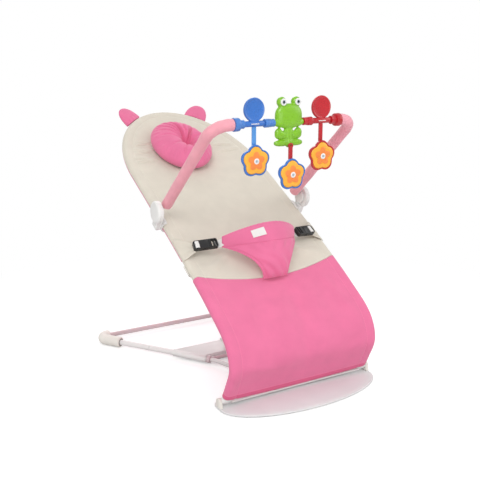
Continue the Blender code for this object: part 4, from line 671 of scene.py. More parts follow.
LEG_PIN = np.array([0.0, 0.180, 0.236])
LEG_FOOT = np.array([0.0, 0.280, 0.0335])
LEG_HALF = np.array([0.040, 0.0, 0.0])
LEG_R = 0.0045
LEG_BEND = 0.014
BARREL_R = 0.0100
BARREL_HALF = 0.010
CROSS_R = 0.0060
CROSS_KNEE = np.array([0.128, 0.180, 0.236])
CROSS_BEND = 0.030
BRACKET_Y = 0.166

centre, tangent, normal, outward = (v[0] for v in stations(np.array([distance_at_y(BRACKET_Y)])))
bow_tip = centre - outward * (TUBE_R + 0.0085) - normal * (TUBE_R + 0.003)
bow_half = np.vstack([bow_tip, rounded_corner(bow_tip, CROSS_KNEE, LEG_PIN, CROSS_BEND, 10)])
bow = tube_part(np.vstack([mirrored(bow_half), bow_half[::-1]]), CROSS_R, UP)
made("bowed_tube_coated", [bow], white_steel, "seat", "cross_tube")
for side in ("left", "right"):
    eased("leg_bracket_" + side, "saddle_" + side, 0.0006, cream_plastic, "seat")


def turned_part(profile, centre, axis, side, sides=48, hollow=False):
    """(Along, radius) pairs turned about an axis: C + a A + r (S cos t + (A x S) sin t).

    A solid profile starts and ends on the axis, and a hollow one runs back to its start.
    """
    along, radius = (np.asarray(profile, float)[:, k][:, None, None] for k in range(2))
    turn = full_turn(sides)[None, :, None]
    circle = side * np.cos(turn) + np.cross(axis, side) * np.sin(turn)
    return ringed(centre + axis * along + circle * radius, hollow)


def bar_profile(start, end, outer, inner=0.0, edge=0.0008):
    """Half the section of a round bar with rounded ends, or of a pipe with an inner radius."""
    rim = edge * 0.3
    return [
        (start, inner), (start, outer - edge), (start + rim, outer - rim), (start + edge, outer),
        (end - edge, outer), (end - rim, outer - rim), (end, outer - edge), (end, inner),
    ]


def sleeve_part(start, end, outer, inner):
    """A pipe with rounded rims between two places."""
    axis = unit(end - start)
    side = unit(np.cross(axis, (0.31, 0.52, 0.79)))
    profile = bar_profile(0, np.linalg.norm(end - start), outer, inner, 0.0005)
    return turned_part(profile, start, axis, side, 36, True)


down = unit(LEG_FOOT - LEG_PIN)
leg_top = LEG_PIN + down * (CROSS_R + 0.0028)
right_foot, left_foot = LEG_FOOT + LEG_HALF, LEG_FOOT - LEG_HALF
leg_path = np.vstack([
    leg_top + LEG_HALF,
    rounded_corner(leg_top + LEG_HALF, right_foot, left_foot, LEG_BEND),
    rounded_corner(right_foot, left_foot, leg_top - LEG_HALF, LEG_BEND),
    leg_top - LEG_HALF,
])
leg_parts = [tube_part(leg_path, LEG_R, np.cross(down, RIGHT))]
for flip in (-1, 1):
    middle = LEG_PIN + LEG_HALF * flip
    reach = RIGHT * BARREL_HALF
    leg_parts.append(sleeve_part(middle - reach, middle + reach, BARREL_R, CROSS_R + 0.0008))
made("bent_leg", leg_parts, white_steel, "support_leg", "support_leg")


# Fitted cover. Woven cotton-blend panels hemmed round the tubes: a pink lower panel with a wide
# foot hem, a cream one above a curved seam, and a second pink layer under the back.

PINK = (0.79, 0.182, 0.345)
# The darker pink of the foot hem is painted shade on the doubled cloth.
HEM_SHADE_PINK = (0.67, 0.085, 0.21)
CREAM = (0.69, 0.645, 0.555)
CLOTH = 0.0014
PANEL_ACROSS = 121
HEM_R = 0.0098
HEM_SEAM = 0.0190
HEM_GROOVE = 0.0011
HEM_GROOVE_WIDE = 0.0024
HEM_BAND = 0.0125
SEAM_GAP = 0.0002
STITCH_PITCH = 0.0034
STITCH_SHARE = 0.66
STITCH_HALF = 0.00045
STITCH_GROOVE_HALF = 0.0016
WEAVE_DEPTH = 0.00016
RUMPLE_DEPTH = 0.0022
COVER_FOOT = 0.0114
COVER_BLEND = 0.060
COVER_SAG = 0.008
COVER_DROP = 0.0085
SEAM_Y = 0.136
SEAM_DIP = 0.028
SEAM_BLEND = 0.080
BACK_COVER_Y = 0.195
LOWER_WRAP = -225.0
UPPER_WRAP = -2.0
BACK_WRAP = 4.0


def stacked(*values):
    """Values brought to one shape and stacked as the coordinates of points."""
    return np.stack(np.broadcast_arrays(*values), -1)


def around(station, radius, degrees, under=False):
    """Points round the seat tube: C + r (cos a outward + sin a normal), or its underside."""
    centre, _, normal, outward = station
    turn = np.radians(np.asarray(degrees, float))[None, :, None]
    lift = -1 if under else 1
    circle = outward[:, None] * np.cos(turn) + lift * normal[:, None] * np.sin(turn)
    return centre[:, None] + radius * circle


def above_foot(centre):
    """Share, from 0 to 1, by which a station has risen over the foot rail."""
    return np.minimum(1.0, (centre[:, 2] - PIVOT[1]) / COVER_BLEND)


def seam_shift(centre):
    """How far the panel's middle slides to the foot: a smooth bump centred on the seam."""
    drop = COVER_DROP * (1 - above_foot(centre))
    away = np.minimum(1.0, np.abs(centre[:, 1] - SEAM_Y) / SEAM_BLEND)
    return np.where(drop > 0, drop, SEAM_DIP * (1 - away) ** 2 * (1 + 2 * away))


def panel_grid(distances, wrap, hem, under):
    """A panel's middle surface: hem arc, the panel between the tubes, and the mirrored hem arc.

    Across the panel x runs evenly and the surface sags by sag (1 - s^2), s the share of the width.
    """
    station = stations(distances)
    centre, tangent, normal, _ = station
    edge = around(station, HEM_R, np.linspace(wrap, 90, hem), under)
    top = edge[:, -1]
    s = np.linspace(1, -1, PANEL_ACROSS)[1:-1]
    sag = COVER_SAG * above_foot(centre) * np.minimum(1.0, top[:, 0] / SEAT_HALF) ** 2
    shift = np.zeros(len(centre)) if under else seam_shift(centre)
    slide = tangent * (0, 1, 1) * shift[:, None]
    panel = top[:, None] * (0, 1, 1) + top[:, None, :1] * s[None, :, None] * (1, 0, 0)
    panel = panel - (normal * sag[:, None] + slide)[:, None] * (1 - s ** 2)[None, :, None]
    return np.concatenate([edge, panel, mirrored(edge)[:, ::-1]], 1)


def cut_marks(distances, wrap, hem):
    """Cut coordinates of a panel's grid: across in metres from the middle, and along."""
    reach = SEAT_HALF + HEM_R * np.radians(90 - np.linspace(wrap, 90, hem))
    s = np.linspace(1, -1, PANEL_ACROSS)[1:-1]
    columns = np.concatenate([reach, SEAT_HALF * s, -reach[::-1]])
    return stacked(columns[None], distances[:, None])


def from_tube(points):
    """Distance of each point of a grid from the nearer side tube's line."""
    line_points = evenly(seat_line, np.linspace(0, CROWN, 600))
    flat = points.reshape(-1, 3).copy()
    flat[:, 0] = np.abs(flat[:, 0])
    nearest = np.full(len(flat), np.inf)
    for some in np.array_split(line_points, 15):
        away = np.linalg.norm(flat[:, None] - some[None], axis=-1).min(1)
        nearest = np.minimum(nearest, away)
    return nearest.reshape(points.shape[:-1])


def grid_normals(points):
    """Unit normals of a grid surface, as rows x columns, turned to face up on the whole."""
    normal = np.cross(np.gradient(points, axis=0), np.gradient(points, axis=1))
    normal = normal / np.maximum(np.linalg.norm(normal, axis=-1, keepdims=True), 1e-12)
    return normal * np.sign(normal[..., 2].mean())


def grid_area(points):
    """Area of a grid surface, as the sum of its quads' half diagonal cross products."""
    one = points[1:, 1:] - points[:-1, :-1]
    two = points[1:, :-1] - points[:-1, 1:]
    return float(np.linalg.norm(np.cross(one, two), axis=-1).sum() / 2)


def cloth_piece(name, points, marks, thickness, out=True):
    """A sheet of cloth from a grid of points, with its cut coordinates kept for the weave."""
    mesh = bpy.data.meshes.new(name)
    quads = grid_quads(*points.shape[:2])
    quads = quads if out else quads[:, ::-1]
    mesh.from_pydata(points.reshape(-1, 3).tolist(), [], quads.tolist())
    cut = np.zeros(points.shape)
    cut[..., :marks.shape[-1]] = marks
    mesh.attributes.new("cut", "FLOAT_VECTOR", "POINT").data.foreach_set("vector", cut.ravel())
    cleaned(mesh, 2e-5, sliver=1e-6)
    piece = placed(name, mesh)
    thick = piece.modifiers.new("cloth_thickness", "SOLIDIFY")
    thick.thickness = thickness
    thick.offset = 0.0
    return piece


def cut_place(tree, lean):
    """The cut coordinates of a sheet in metres or, for padding, its place turned by a lean."""
    if lean is None:
        return add_node(tree, "Attribute", {}, "Vector", attribute_name="cut")
    place = add_node(tree, "TexCoord", {}, "Object")
    return add_node(tree, "Mapping", {"Vector": place, "Rotation": (-lean, 0.0, 0.0)}, "Vector")


def maths(tree, operation, *values):
    """A maths node with its inputs linked or set."""
    return add_node(tree, "Math", dict(enumerate(values)), operation=operation)


def weave(tree, split, pitch):
    """A plain weave: 1 + sin(x) sin(y) of the cut coordinates, two threads to a pitch."""
    turns = [maths(tree, "MULTIPLY", split[k], 2 * np.pi / pitch) for k in range(2)]
    waves = [maths(tree, "SINE", turn) for turn in turns]
    return maths(tree, "ADD", maths(tree, "MULTIPLY", *waves), 1.0)


def band(tree, value, centre, half):
    """1 where a value is within half of a centre, and 0 outside."""
    away = maths(tree, "ABSOLUTE", maths(tree, "SUBTRACT", value, centre))
    return maths(tree, "LESS_THAN", away, half)


def woven_cloth(
    name, colour, shade=0.86, pitch=0.0011, stitches=(), hem=None, lean=None
):
    """Woven fabric: threads, faint slubs and creases, and rows of stitches along the cut.

    Stitches are (axis, place) pairs in cut coordinates, where axis 2 is the distance from the
    seat's tube. A hem is (limit along the cut, colour) of a stretch of doubled cloth, whose
    colour is mixed in below the limit as painted shade. A lean is for padded pieces.
    """
    material, tree, shader = new_finish(name)
    split = add_node(tree, "SeparateXYZ", {0: cut_place(tree, lean)}, None)
    threads = weave(tree, split, pitch)
    slubs = speckled(tree, 26.0, detail=8.0)
    clouds = speckled(tree, 7.0, detail=3.0)
    base = tinted(tree, colour, maths(tree, "MULTIPLY", slubs, 0.45), shade)
    shadow = maths(tree, "MULTIPLY", maths(tree, "SUBTRACT", 2.0, threads), 0.16)
    depth = maths(tree, "ADD", shadow, maths(tree, "MULTIPLY", clouds, 0.12))
    result = blended(tree, base, shaded(colour, shade * 0.92), depth)
    # Below the hem's limit the colour is mixed towards the darker pink: painted shade.
    if hem:
        limit, deeper = hem
        inside = maths(tree, "LESS_THAN", split[1], limit)
        result = blended(tree, result, shaded(deeper), maths(tree, "MULTIPLY", inside, 0.75))
    height = maths(tree, "MULTIPLY", threads, 0.5)
    light = (*[min(1.0, c * 1.12 + 0.03) for c in colour], 1.0)
    for axis, at in stitches:
        steps = maths(tree, "MULTIPLY", split[0 if axis == 1 else 1], 1 / STITCH_PITCH)
        dash = maths(tree, "LESS_THAN", maths(tree, "FRACT", steps), STITCH_SHARE)
        thread = maths(tree, "MULTIPLY", band(tree, split[axis], at, STITCH_HALF), dash)
        result = blended(tree, result, light, maths(tree, "MULTIPLY", thread, 0.7))
        height = maths(tree, "ADD", height, maths(tree, "MULTIPLY", thread, 2.0))
        groove = band(tree, split[axis], at, STITCH_GROOVE_HALF)
        height = maths(tree, "SUBTRACT", height, maths(tree, "MULTIPLY", groove, 1.2))
    fine = raised(tree, height, WEAVE_DEPTH, 0.6)
    feed(tree, shader, {
        "Base Color": result,
        "Normal": raised(tree, speckled(tree, 9.0, detail=5.0), RUMPLE_DEPTH, 0.22, fine),
        "Roughness": speckled(tree, 40.0, 0.78, 0.92),
        "Sheen Weight": 0.25,
        "Sheen Roughness": 0.45,
        "Specular IOR Level": 0.25,
    })
    return material


def creased(folds, u, v, creases):
    """Folds with creases added: height exp(-(d / width)^2), d the distance from a segment.

    A crease is (start, end, width, height) in cut coordinates and fades towards both ends.
    """
    for start, end, width, height in creases:
        a, b = np.asarray(start, float), np.asarray(end, float)
        along = (b - a) / np.sum((b - a) ** 2)
        t = (u - a[0]) * along[0] + (v - a[1]) * along[1]
        near = np.clip(t, 0, 1)
        d = np.hypot(u - a[0] - near * (b - a)[0], v - a[1] - near * (b - a)[1])
        fade = np.sin(np.pi * np.clip(t, 0.02, 0.98)) ** 0.6
        folds = folds + height * bell(d, width) * fade
    return folds


def inside(u, v, side, start):
    """1 over the open cloth, falling to 0 over a width at the tubes and at the panel's start."""
    return np.clip((SEAT_HALF - np.abs(u)) / side, 0, 1) * np.clip((v - start) / 0.02, 0, 1)


def cover_panel(node, cloth, places, wrap, folds, area, hem=18, under=False):
    """One panel of the cover, with its folds and the groove of the seam that closes its hem.

    Folds are a function of the cut coordinates, across and along.
    """
    grid = panel_grid(places, wrap, hem, under)
    marks = cut_marks(places, wrap, hem)
    away = from_tube(grid)
    lift = folds(marks[..., 0], marks[..., 1])
    lift = lift - HEM_GROOVE * bell(away, HEM_GROOVE_WIDE, HEM_SEAM)
    grid = grid + grid_normals(grid) * lift[..., None]
    marks = np.concatenate([marks, away[..., None]], -1)
    piece = cloth_piece(node + "_panel", grid, marks, CLOTH, not under)
    dress(piece, cloth, "seat", node)
    area = min(grid_area(grid), area)


seam_at = distance_at_y(SEAM_Y)
back_at = distance_at_y(BACK_COVER_Y)
hem_at = COVER_FOOT + HEM_BAND
cloth_lower = woven_cloth(
    "pink_weave", PINK, stitches=((1, hem_at), (1, seam_at - 0.004), (2, HEM_SEAM)),
    hem=(hem_at - 0.0008, HEM_SHADE_PINK),
)
cloth_upper = woven_cloth(
    "cream_weave", CREAM, 0.88, stitches=((1, seam_at + 0.004), (2, HEM_SEAM)),
)
cloth_back = woven_cloth(
    "pink_back_weave", PINK, stitches=((2, HEM_SEAM),)
)

LOWER_CREASES = (
    ((0.03, seam_at - 0.01), (0.000, 0.06), 0.020, -0.0042),
    ((0.075, seam_at - 0.03), (0.060, 0.07), 0.022, 0.0026),
    ((-0.030, seam_at - 0.06), (-0.050, 0.06), 0.024, 0.0024),
    ((-0.09, seam_at - 0.01), (-0.13, 0.10), 0.015, 0.0022),
    ((0.12, seam_at - 0.02), (0.155, 0.10), 0.012, 0.0020),
    ((-0.175, 0.10), (-0.06, 0.065), 0.010, 0.0020),
    ((0.175, 0.12), (0.09, 0.075), 0.010, -0.0018),
)


def lower_folds(u, v):
    """One broad wave that fades to the sides, long creases, and the doubled hem at the foot."""
    folds = 0.0016 * np.cos(u / 0.040 + 0.8) * bell(u, 0.12)
    folds = folds * np.sin(np.pi * np.clip(v / seam_at, 0, 1))
    folds = creased(folds, u, v, LOWER_CREASES) * inside(u, v, 0.03, hem_at)
    return folds + 0.0007 * (v < hem_at) * (np.abs(u) < SEAT_HALF)


places = np.linspace(COVER_FOOT, seam_at - SEAM_GAP, 110)
cover_panel(
    "cover_lower", cloth_lower, places, LOWER_WRAP, lower_folds, 0.133,
    hem=40,
)

# Short creases of the cream cloth beside the pillow, as (from, to, place along the tube): each
# is a ridge with a valley below it.
CREAM_CREASES = (
    (-0.168, -0.102, 0.762),
    (-0.170, -0.104, 0.784),
    (-0.164, -0.100, 0.803),
    (-0.166, -0.108, 0.822),
    (-0.158, -0.104, 0.842),
    (-0.150, -0.098, 0.861),
    (0.088, 0.164, 0.790),
    (0.084, 0.160, 0.826),
)
# Creases that the belt pulls in from each side, as (place along the tube, rise).
BELT_CREASES = ((0.335, 0.055), (0.352, 0.030), (0.318, 0.075))
VALLEY = np.array([0.0, 0.007])


def upper_folds(u, v):
    """Slanting waves over the seat, the creases beside the pillow, and the tuck at the crown."""
    folds = 0.0020 * np.sin(v / 0.030 + 14 * u) * bell(v, 0.10, 0.40)
    creases = []
    for k, (from_edge, to_middle, at) in enumerate(CREAM_CREASES):
        start, end = np.array([from_edge, at]), np.array([to_middle, at + 0.012 * np.cos(3 * k)])
        creases.append((start, end, 0.0050, 0.0032 - 0.0006 * (k % 3)))
        creases.append((start - VALLEY, end - VALLEY, 0.0034, -0.0024))
    for side in (-1, 1):
        for at, rise in BELT_CREASES:
            creases.append(((side * 0.178, at), (side * 0.085, at + rise), 0.0065, 0.0026))
    tuck = 0.0012 * bell(u, 0.0022) * np.clip((v - CROWN + 0.035) / 0.01, 0, 1)
    return (creased(folds, u, v, creases) - tuck) * inside(u, v, 0.02, seam_at)


places = np.concatenate([
    np.linspace(seam_at + SEAM_GAP, 0.740, 120),
    np.linspace(0.742, 0.880, 70),
    np.linspace(0.884, CROWN - 0.02, 38),
    np.linspace(CROWN - 0.0195, CROWN, 24),
])
cover_panel(
    "cover_upper", cloth_upper, places, UPPER_WRAP, upper_folds, 0.27
)

BACK_CREASES = (
    ((-0.15, 0.32), (0.05, 0.40), 0.012, 0.0020),
    ((0.15, 0.36), (-0.02, 0.47), 0.010, 0.0016),
)


def back_folds(u, v):
    """Shallow waves and two creases, all pressed inwards from the taut surface."""
    folds = creased(0.0015 * np.sin(v / 0.040) * np.cos(u / 0.06), u, v, BACK_CREASES)
    return -np.abs(folds * inside(u, v, 0.03, back_at))


places = np.concatenate([
    np.linspace(back_at, CROWN - 0.02, 150), np.linspace(CROWN - 0.0195, CROWN, 24)
])
cover_panel(
    "cover_back", cloth_back, places, BACK_WRAP, back_folds, 0.247,
    under=True,
)


# Head pillow and ears. Both are sewn from the pink cloth and stuffed: the pillow is a ring drawn
# in to a closed dimple, and the two flat ears are stitched along the head seam.

PILLOW_X = -0.018
PILLOW_Y = 0.553
PILLOW_RX = 0.081
PILLOW_RY = 0.098
PILLOW_WIDER = 1.05
PILLOW_LONGER = 1.065
PILLOW_MOVED = 0.003
PILLOW_HIGH = 0.050
PILLOW_SEAM_HIGH = 0.34
PILLOW_TOP = 0.78
PILLOW_UNDER = 0.22
PILLOW_RIM = 0.96
PILLOW_BASE = 0.012
PILLOW_SEWN = 0.006
PILLOW_DOME = 0.58
PILLOW_SHOULDER = 3.4
PILLOW_TUCK = 0.12
PILLOW_SWELL = 0.0045
PILLOW_PLEAT = 0.0012
HEM_OUT = 0.01076
PILLOW_FLOOR = HEM_OUT - 0.0041
PILLOW_ALONG = (PILLOW_Y - BACK_START[1]) / np.cos(BACK_SLOPE)
DIMPLE = np.array([0.012, -0.005])
DIMPLE_WIDE = 0.21
DIMPLE_DEPTH = 0.036
# Creases that run out from the dimple, as (direction in degrees, depth, width, reach).
PILLOW_CREASES = (
    (96.0, 0.0170, 0.050, 0.95),
    (48.0, 0.0150, 0.050, 0.85),
    (278.0, 0.0100, 0.055, 0.70),
    (113.0, 0.0070, 0.035, 1.00),
    (128.0, 0.0060, 0.033, 1.00),
    (145.0, 0.0045, 0.033, 1.00),
    (72.0, 0.0050, 0.035, 0.90),
    (165.0, 0.0030, 0.035, 0.95),
    (205.0, 0.0030, 0.040, 0.85),
    (240.0, 0.0035, 0.035, 0.95),
    (325.0, 0.0040, 0.040, 0.85),
    (10.0, 0.0040, 0.040, 0.85),
)


def on_back(x, along, off):
    """Points over the straight back: across, along it and off its tube plane."""
    x, along, off = np.broadcast_arrays(x, along, off)
    flat = along[..., None] * BACK_ALONG + off[..., None] * BACK_NORMAL
    return BACK_START + flat + x[..., None] * RIGHT


def closed_piece(name, parts):
    """A closed padded form from grids, with its open ends filled."""
    piece = piece_from(name, parts)
    cleaned(piece.data, 1e-5, close=True)
    return piece


def points_of(mesh):
    """The points of a mesh as an array."""
    flat = np.empty(3 * len(mesh.vertices))
    mesh.vertices.foreach_get("co", flat)
    return flat.reshape(-1, 3)


def move_points(mesh, points):
    """Put the points of a mesh at new places."""
    mesh.vertices.foreach_set("co", points.ravel())
    mesh.update()


def settle(piece):
    """Apply the modifiers of a piece to its mesh."""
    bpy.context.view_layer.update()
    seen = piece.evaluated_get(bpy.context.evaluated_depsgraph_get())
    mesh = bpy.data.meshes.new_from_object(seen)
    piece.modifiers.clear()
    piece.data = mesh
    mesh.shade_smooth()


def filled(piece, cell, held, pressure, cap):
    """Stuff a padded piece: an even mesh, swelled by the cloth solver, no point moved past a cap.

    held(points) says where it is sewn down.
    """
    even = piece.modifiers.new("even_mesh", "REMESH")
    even.mode = "VOXEL"
    even.voxel_size = cell
    settle(piece)
    start = points_of(piece.data)
    sewn = piece.vertex_groups.new(name="sewn_down")
    sewn.add(np.flatnonzero(held(start)).tolist(), 1.0, "REPLACE")
    cloth = piece.modifiers.new("stuffing", "CLOTH")
    cloth.settings.use_pressure = True
    cloth.settings.uniform_pressure_force = pressure
    cloth.settings.effector_weights.gravity = 0.0
    cloth.settings.vertex_group_mass = sewn.name
    for count in range(1, 21):
        bpy.context.scene.frame_set(count)
    settle(piece)
    bpy.context.scene.frame_set(1)
    step = points_of(piece.data) - start
    length = np.linalg.norm(step, axis=1, keepdims=True)
    move_points(piece.data, start + step * np.minimum(1.0, cap / np.maximum(length, 1e-9)))
    fine = piece.modifiers.new("fine_mesh", "SUBSURF")
    fine.levels = 1
    fine.render_levels = 1
    settle(piece)


def pillow_place(points):
    """A pillow's points across and along the back from its middle, and off its floor."""
    away = points - BACK_START
    off = away @ BACK_NORMAL - PILLOW_FLOOR
    return away[:, 0] - PILLOW_X, away @ BACK_ALONG - PILLOW_ALONG, off


# The pillow starts as a smooth cushion: rings that widen over its top, then turn in under it.
turn = full_turn(120)[None]
q = np.linspace(0, 1, 50)[:, None]
below = (q - PILLOW_TOP) / PILLOW_UNDER
over = 0.02 + 0.94 * np.sin(np.clip(q / PILLOW_TOP, 0, 1) * np.pi / 2)
r = np.where(q < PILLOW_TOP, over, PILLOW_RIM - PILLOW_TUCK * below ** 2)
dome = PILLOW_DOME * np.sqrt(np.clip(1 - (r / PILLOW_RIM) ** PILLOW_SHOULDER, 0, 1))
high = PILLOW_HIGH * (PILLOW_SEAM_HIGH + dome)
high = np.where(q > PILLOW_TOP, PILLOW_HIGH * PILLOW_SEAM_HIGH * (1 - below), high)
form = on_back(
    PILLOW_X - PILLOW_MOVED + PILLOW_WIDER * PILLOW_RX * r * np.cos(turn),
    PILLOW_ALONG + PILLOW_MOVED + PILLOW_LONGER * PILLOW_RY * r * np.sin(turn),
    PILLOW_FLOOR + high,
)
pillow = closed_piece("ring_pillow", [ringed(form)])
filled(
    pillow, cell=0.0032, held=lambda points: pillow_place(points)[2] < PILLOW_SEWN, pressure=4.0,
    cap=0.008,
)

# The dimple, its creases and the pleats of the rim are then pressed into the stuffed form.
across, along, off = pillow_place(points_of(pillow.data))
rim = np.clip(np.hypot(across / PILLOW_RX, along / PILLOW_RY), 0, 1)
from_x = (across - DIMPLE[0] * (1 - rim)) / PILLOW_RX
from_y = (along - DIMPLE[1] * (1 - rim)) / PILLOW_RY
rho = np.hypot(from_x, from_y)
heading = np.arctan2(from_y, from_x)
sink = DIMPLE_DEPTH * bell(rho, DIMPLE_WIDE)
for degrees, depth, width, reach in PILLOW_CREASES:
    turned = (heading - np.radians(degrees) + np.pi) % (2 * np.pi) - np.pi
    near = bell(turned * np.maximum(rho, 0.05), width)
    sink += depth * near * np.clip((reach - rho) / 0.25, 0, 1) * np.clip(rho / 0.12, 0, 1)
swell = PILLOW_SWELL * bell(rho, 0.22, 0.60)
pleats = PILLOW_PLEAT * np.cos(30 * heading + 2 * np.sin(5 * heading))
pleats = pleats * bell(rim, 0.10, 0.90)
top = np.clip((off - PILLOW_BASE) / 0.010, 0, 1)
lift = top * (swell - sink + pleats)
lift = np.maximum(lift, PILLOW_BASE - off) * (top > 0)
move_points(pillow.data, points_of(pillow.data) + lift[:, None] * BACK_NORMAL)
padding_weave = woven_cloth("pink_pillow_weave", PINK, lean=BACK_SLOPE)
dress(pillow, padding_weave, "seat", "pillow")

EAR_X = 0.095
EAR_WIDTH = 0.058
EAR_WIDER = 1.13
EAR_HEIGHT = 0.050
EAR_TALLER = 1.04
EAR_THICK = 0.013
EAR_TILT = np.radians(22)
EAR_LIFT = 0.0008
EAR_SEWN = 0.003
EAR_PUCKER = 0.0008
EAR_PUCKER_PITCH = 0.0022
EAR_PUCKER_REACH = 0.012
rim_x = SEAT_HALF + HEM_OUT
rim_reach = HEAD_REACH + HEM_OUT
rise = rim_reach * np.sqrt(1 - (EAR_X / rim_x) ** 2)
slope = unit(np.array([EAR_X / rim_x ** 2, rise / rim_reach ** 2]))
ear_flat = np.array([slope[0], 0, 0]) + BACK_ALONG * slope[1]
ear_along = np.cross(ear_flat, BACK_NORMAL)
ear_base = on_back(EAR_X, HEAD_START + rise, 0.0) + ear_flat * EAR_LIFT
ear_away = ear_flat * np.cos(EAR_TILT) + BACK_NORMAL * np.sin(EAR_TILT)
ear_face = BACK_NORMAL * np.cos(EAR_TILT) - ear_flat * np.sin(EAR_TILT)
k = np.linspace(0, np.pi, 48)[:, None]
q = np.linspace(-1, 1, 41)[None]
share = 1 - np.abs(q)
fill = signed_power(q, 0.34) * 1.6
u = EAR_WIDER * EAR_WIDTH / 2 * np.cos(k) * share
v = EAR_TALLER * EAR_HEIGHT * np.sin(k) ** 0.85 * share + 0.0004
ear_grid = ear_base + u[..., None] * ear_along + v[..., None] * ear_away
ear_grid = ear_grid + (fill * EAR_THICK / 2)[..., None] * ear_face
ear_quads = grid_quads(*ear_grid.shape[:2])
for side, flip in SIDES:
    root, up, out, face = (way * flip for way in (ear_base, ear_away, ear_along, ear_face))
    ear = closed_piece("ear_pad_" + side, [(ear_grid * flip, ear_quads)])
    filled(
        ear, cell=0.0026, held=lambda points: (points - root) @ up < EAR_SEWN, pressure=4.0,
        cap=0.0035,
    )
    place = points_of(ear.data)
    away = place - root
    pucker = EAR_PUCKER * np.cos(away @ out / EAR_PUCKER_PITCH)
    pucker = pucker * bell(away @ up, EAR_PUCKER_REACH)
    front = np.sign(away @ face)
    move_points(ear.data, place + (front * pucker)[:, None] * face)
    dress(ear, padding_weave, "seat", "ear_" + side)


# Waist belt. A thinly padded band with a crotch strap in one shape, webbing at its two ends, side
# release buckles, and cream wings of the cover that the buckles hang from.

PAD_HALF = 0.100
PAD_FOOT_HALF = 0.034
PAD_THICK = 0.006
PAD_BAND = 0.30
PAD_LONG = 0.140
PAD_SWELL = 0.0024
PAD_SEWN = 0.004
PAD_BAND_CREASE = 0.0019
PAD_SEAM_DEPTH = 0.0017
PAD_SEAM_WIDE = 0.0017
PAD_SEAM_IN = 0.0070
PAD_FOOT_SEAM = 0.955
PAD_SPINE = np.array([(0, 0.125, 0.373), (0, 0.098, 0.334), (0, 0.080, 0.290), (0, 0.092, 0.2475)])
PAD_END_TOP = np.array([0.0, 0.176, 0.338])
PAD_END_LOW = np.array([0.0, 0.174, 0.312])


def cubic(points, t):
    """The cubic Bezier curve of four points."""
    a, b, c, d = points
    t = t[..., None]
    return a * (1 - t) ** 3 + 3 * b * t * (1 - t) ** 2 + 3 * c * t ** 2 * (1 - t) + d * t ** 3


def pad_half(v):
    """Half the pad's width at a share of its length: the whole band, then a curve to its foot."""
    fall = np.clip((v - PAD_BAND) / (1 - PAD_BAND), 0, 1)
    return PAD_FOOT_HALF + (PAD_HALF - PAD_FOOT_HALF) * (1 - fall) ** 2


def pad_surface(u, v, off):
    """The pad's form: a spine curve, widened to the sides, whose band bows back to its ends."""
    u, v, off = np.broadcast_arrays(u, v, off)
    x = pad_half(v) * u
    bow = (x / PAD_HALF) ** 2
    waist = cubic(PAD_SPINE, np.array(PAD_BAND))
    share = np.minimum(1, v / PAD_BAND)[..., None]
    back = (PAD_END_TOP - PAD_SPINE[0]) * (1 - share) + (PAD_END_LOW - waist) * share
    out = unit(stacked(x * 2.0, -PAD_HALF, 0.0))
    middle = cubic(PAD_SPINE, v) + x[..., None] * RIGHT
    return middle + back * bow[..., None] + out * off[..., None]


def rim_of(grid):
    """The points on the edge of a grid, once round."""
    return np.concatenate([grid[0, :-1], grid[:-1, -1], grid[-1, :0:-1], grid[:0:-1, 0]])


u = np.linspace(1, -1, 130)[None]
v = np.linspace(0, 1, 170)[:, None]
to_side = (1 - np.abs(u)) * pad_half(v)
open_side = np.clip(to_side / 0.02, 0, 1)
edge = np.minimum(to_side, np.minimum(v, 1 - v) * 0.16)
puff = PAD_THICK / 2 * (0.30 + 0.70 * np.clip(edge / 0.012, 0, 1) ** 0.5)
puff = puff + PAD_SWELL * np.clip(1 - ((v - 0.14) / 0.15) ** 2, 0, 1) * open_side
front = pad_surface(u, v, puff)
rear = pad_surface(u, v, -puff)
quads = grid_quads(*front.shape[:2])
rim_strip = ringed(np.stack([rim_of(front), rim_of(rear)]))
pad = closed_piece("waist_band_pad", [(front, quads), (rear, quads[:, ::-1]), rim_strip])
filled(
    pad, cell=0.0022, held=lambda points: np.abs(points[:, 0]) > PAD_HALF - PAD_SEWN,
    pressure=1.5, cap=0.0015,
)

# The seams and wrinkles are pressed in after the filling, each point by the place of the cut that
# lies nearest to it.
band_seam = bell(v - PAD_BAND - 0.035 * (1 - u ** 2), 0.010)
side_seam = bell(to_side, PAD_SEAM_WIDE, PAD_SEAM_IN)
side_seam = side_seam * np.clip((v - PAD_BAND - 0.03) / 0.02, 0, 1)
foot_seam = bell(v, 0.008, PAD_FOOT_SEAM)
seam = PAD_BAND_CREASE * band_seam + PAD_SEAM_DEPTH * np.maximum(side_seam, foot_seam)
wrinkle = 0.0018 * np.cos(17 * u + 6 * v) * bell(v - PAD_BAND - 0.09, 0.07)
wrinkle = wrinkle + 0.0007 * np.cos(60 * u + 4 * v) * bell(v, 0.05)
wrinkle = wrinkle + 0.0016 * np.cos(9 * u - 22 * v) * np.clip((v - 0.45) / 0.2, 0, 1) * open_side
middle = pad_surface(u, v, np.array(0.0)).reshape(-1, 3)
near = KDTree(len(middle))
for k, point in enumerate(middle):
    near.insert(point, k)
near.balance()
place = points_of(pad.data)
at = np.array([near.find(point)[1] for point in place])
away = place - middle[at]
front_side = away[:, 2] - away[:, 1] > 0
press = np.where(front_side, (wrinkle - seam).ravel()[at], -0.5 * seam.ravel()[at])
press = press[:, None] * np.clip(np.linalg.norm(away, axis=1) / 0.002, 0, 1)[:, None]
move_points(pad.data, place + unit(away + 1e-9) * press)
pad_weave = woven_cloth("pink_pad_weave", PINK, lean=np.radians(75))
dress(pad, pad_weave, "seat", "waist_pad")

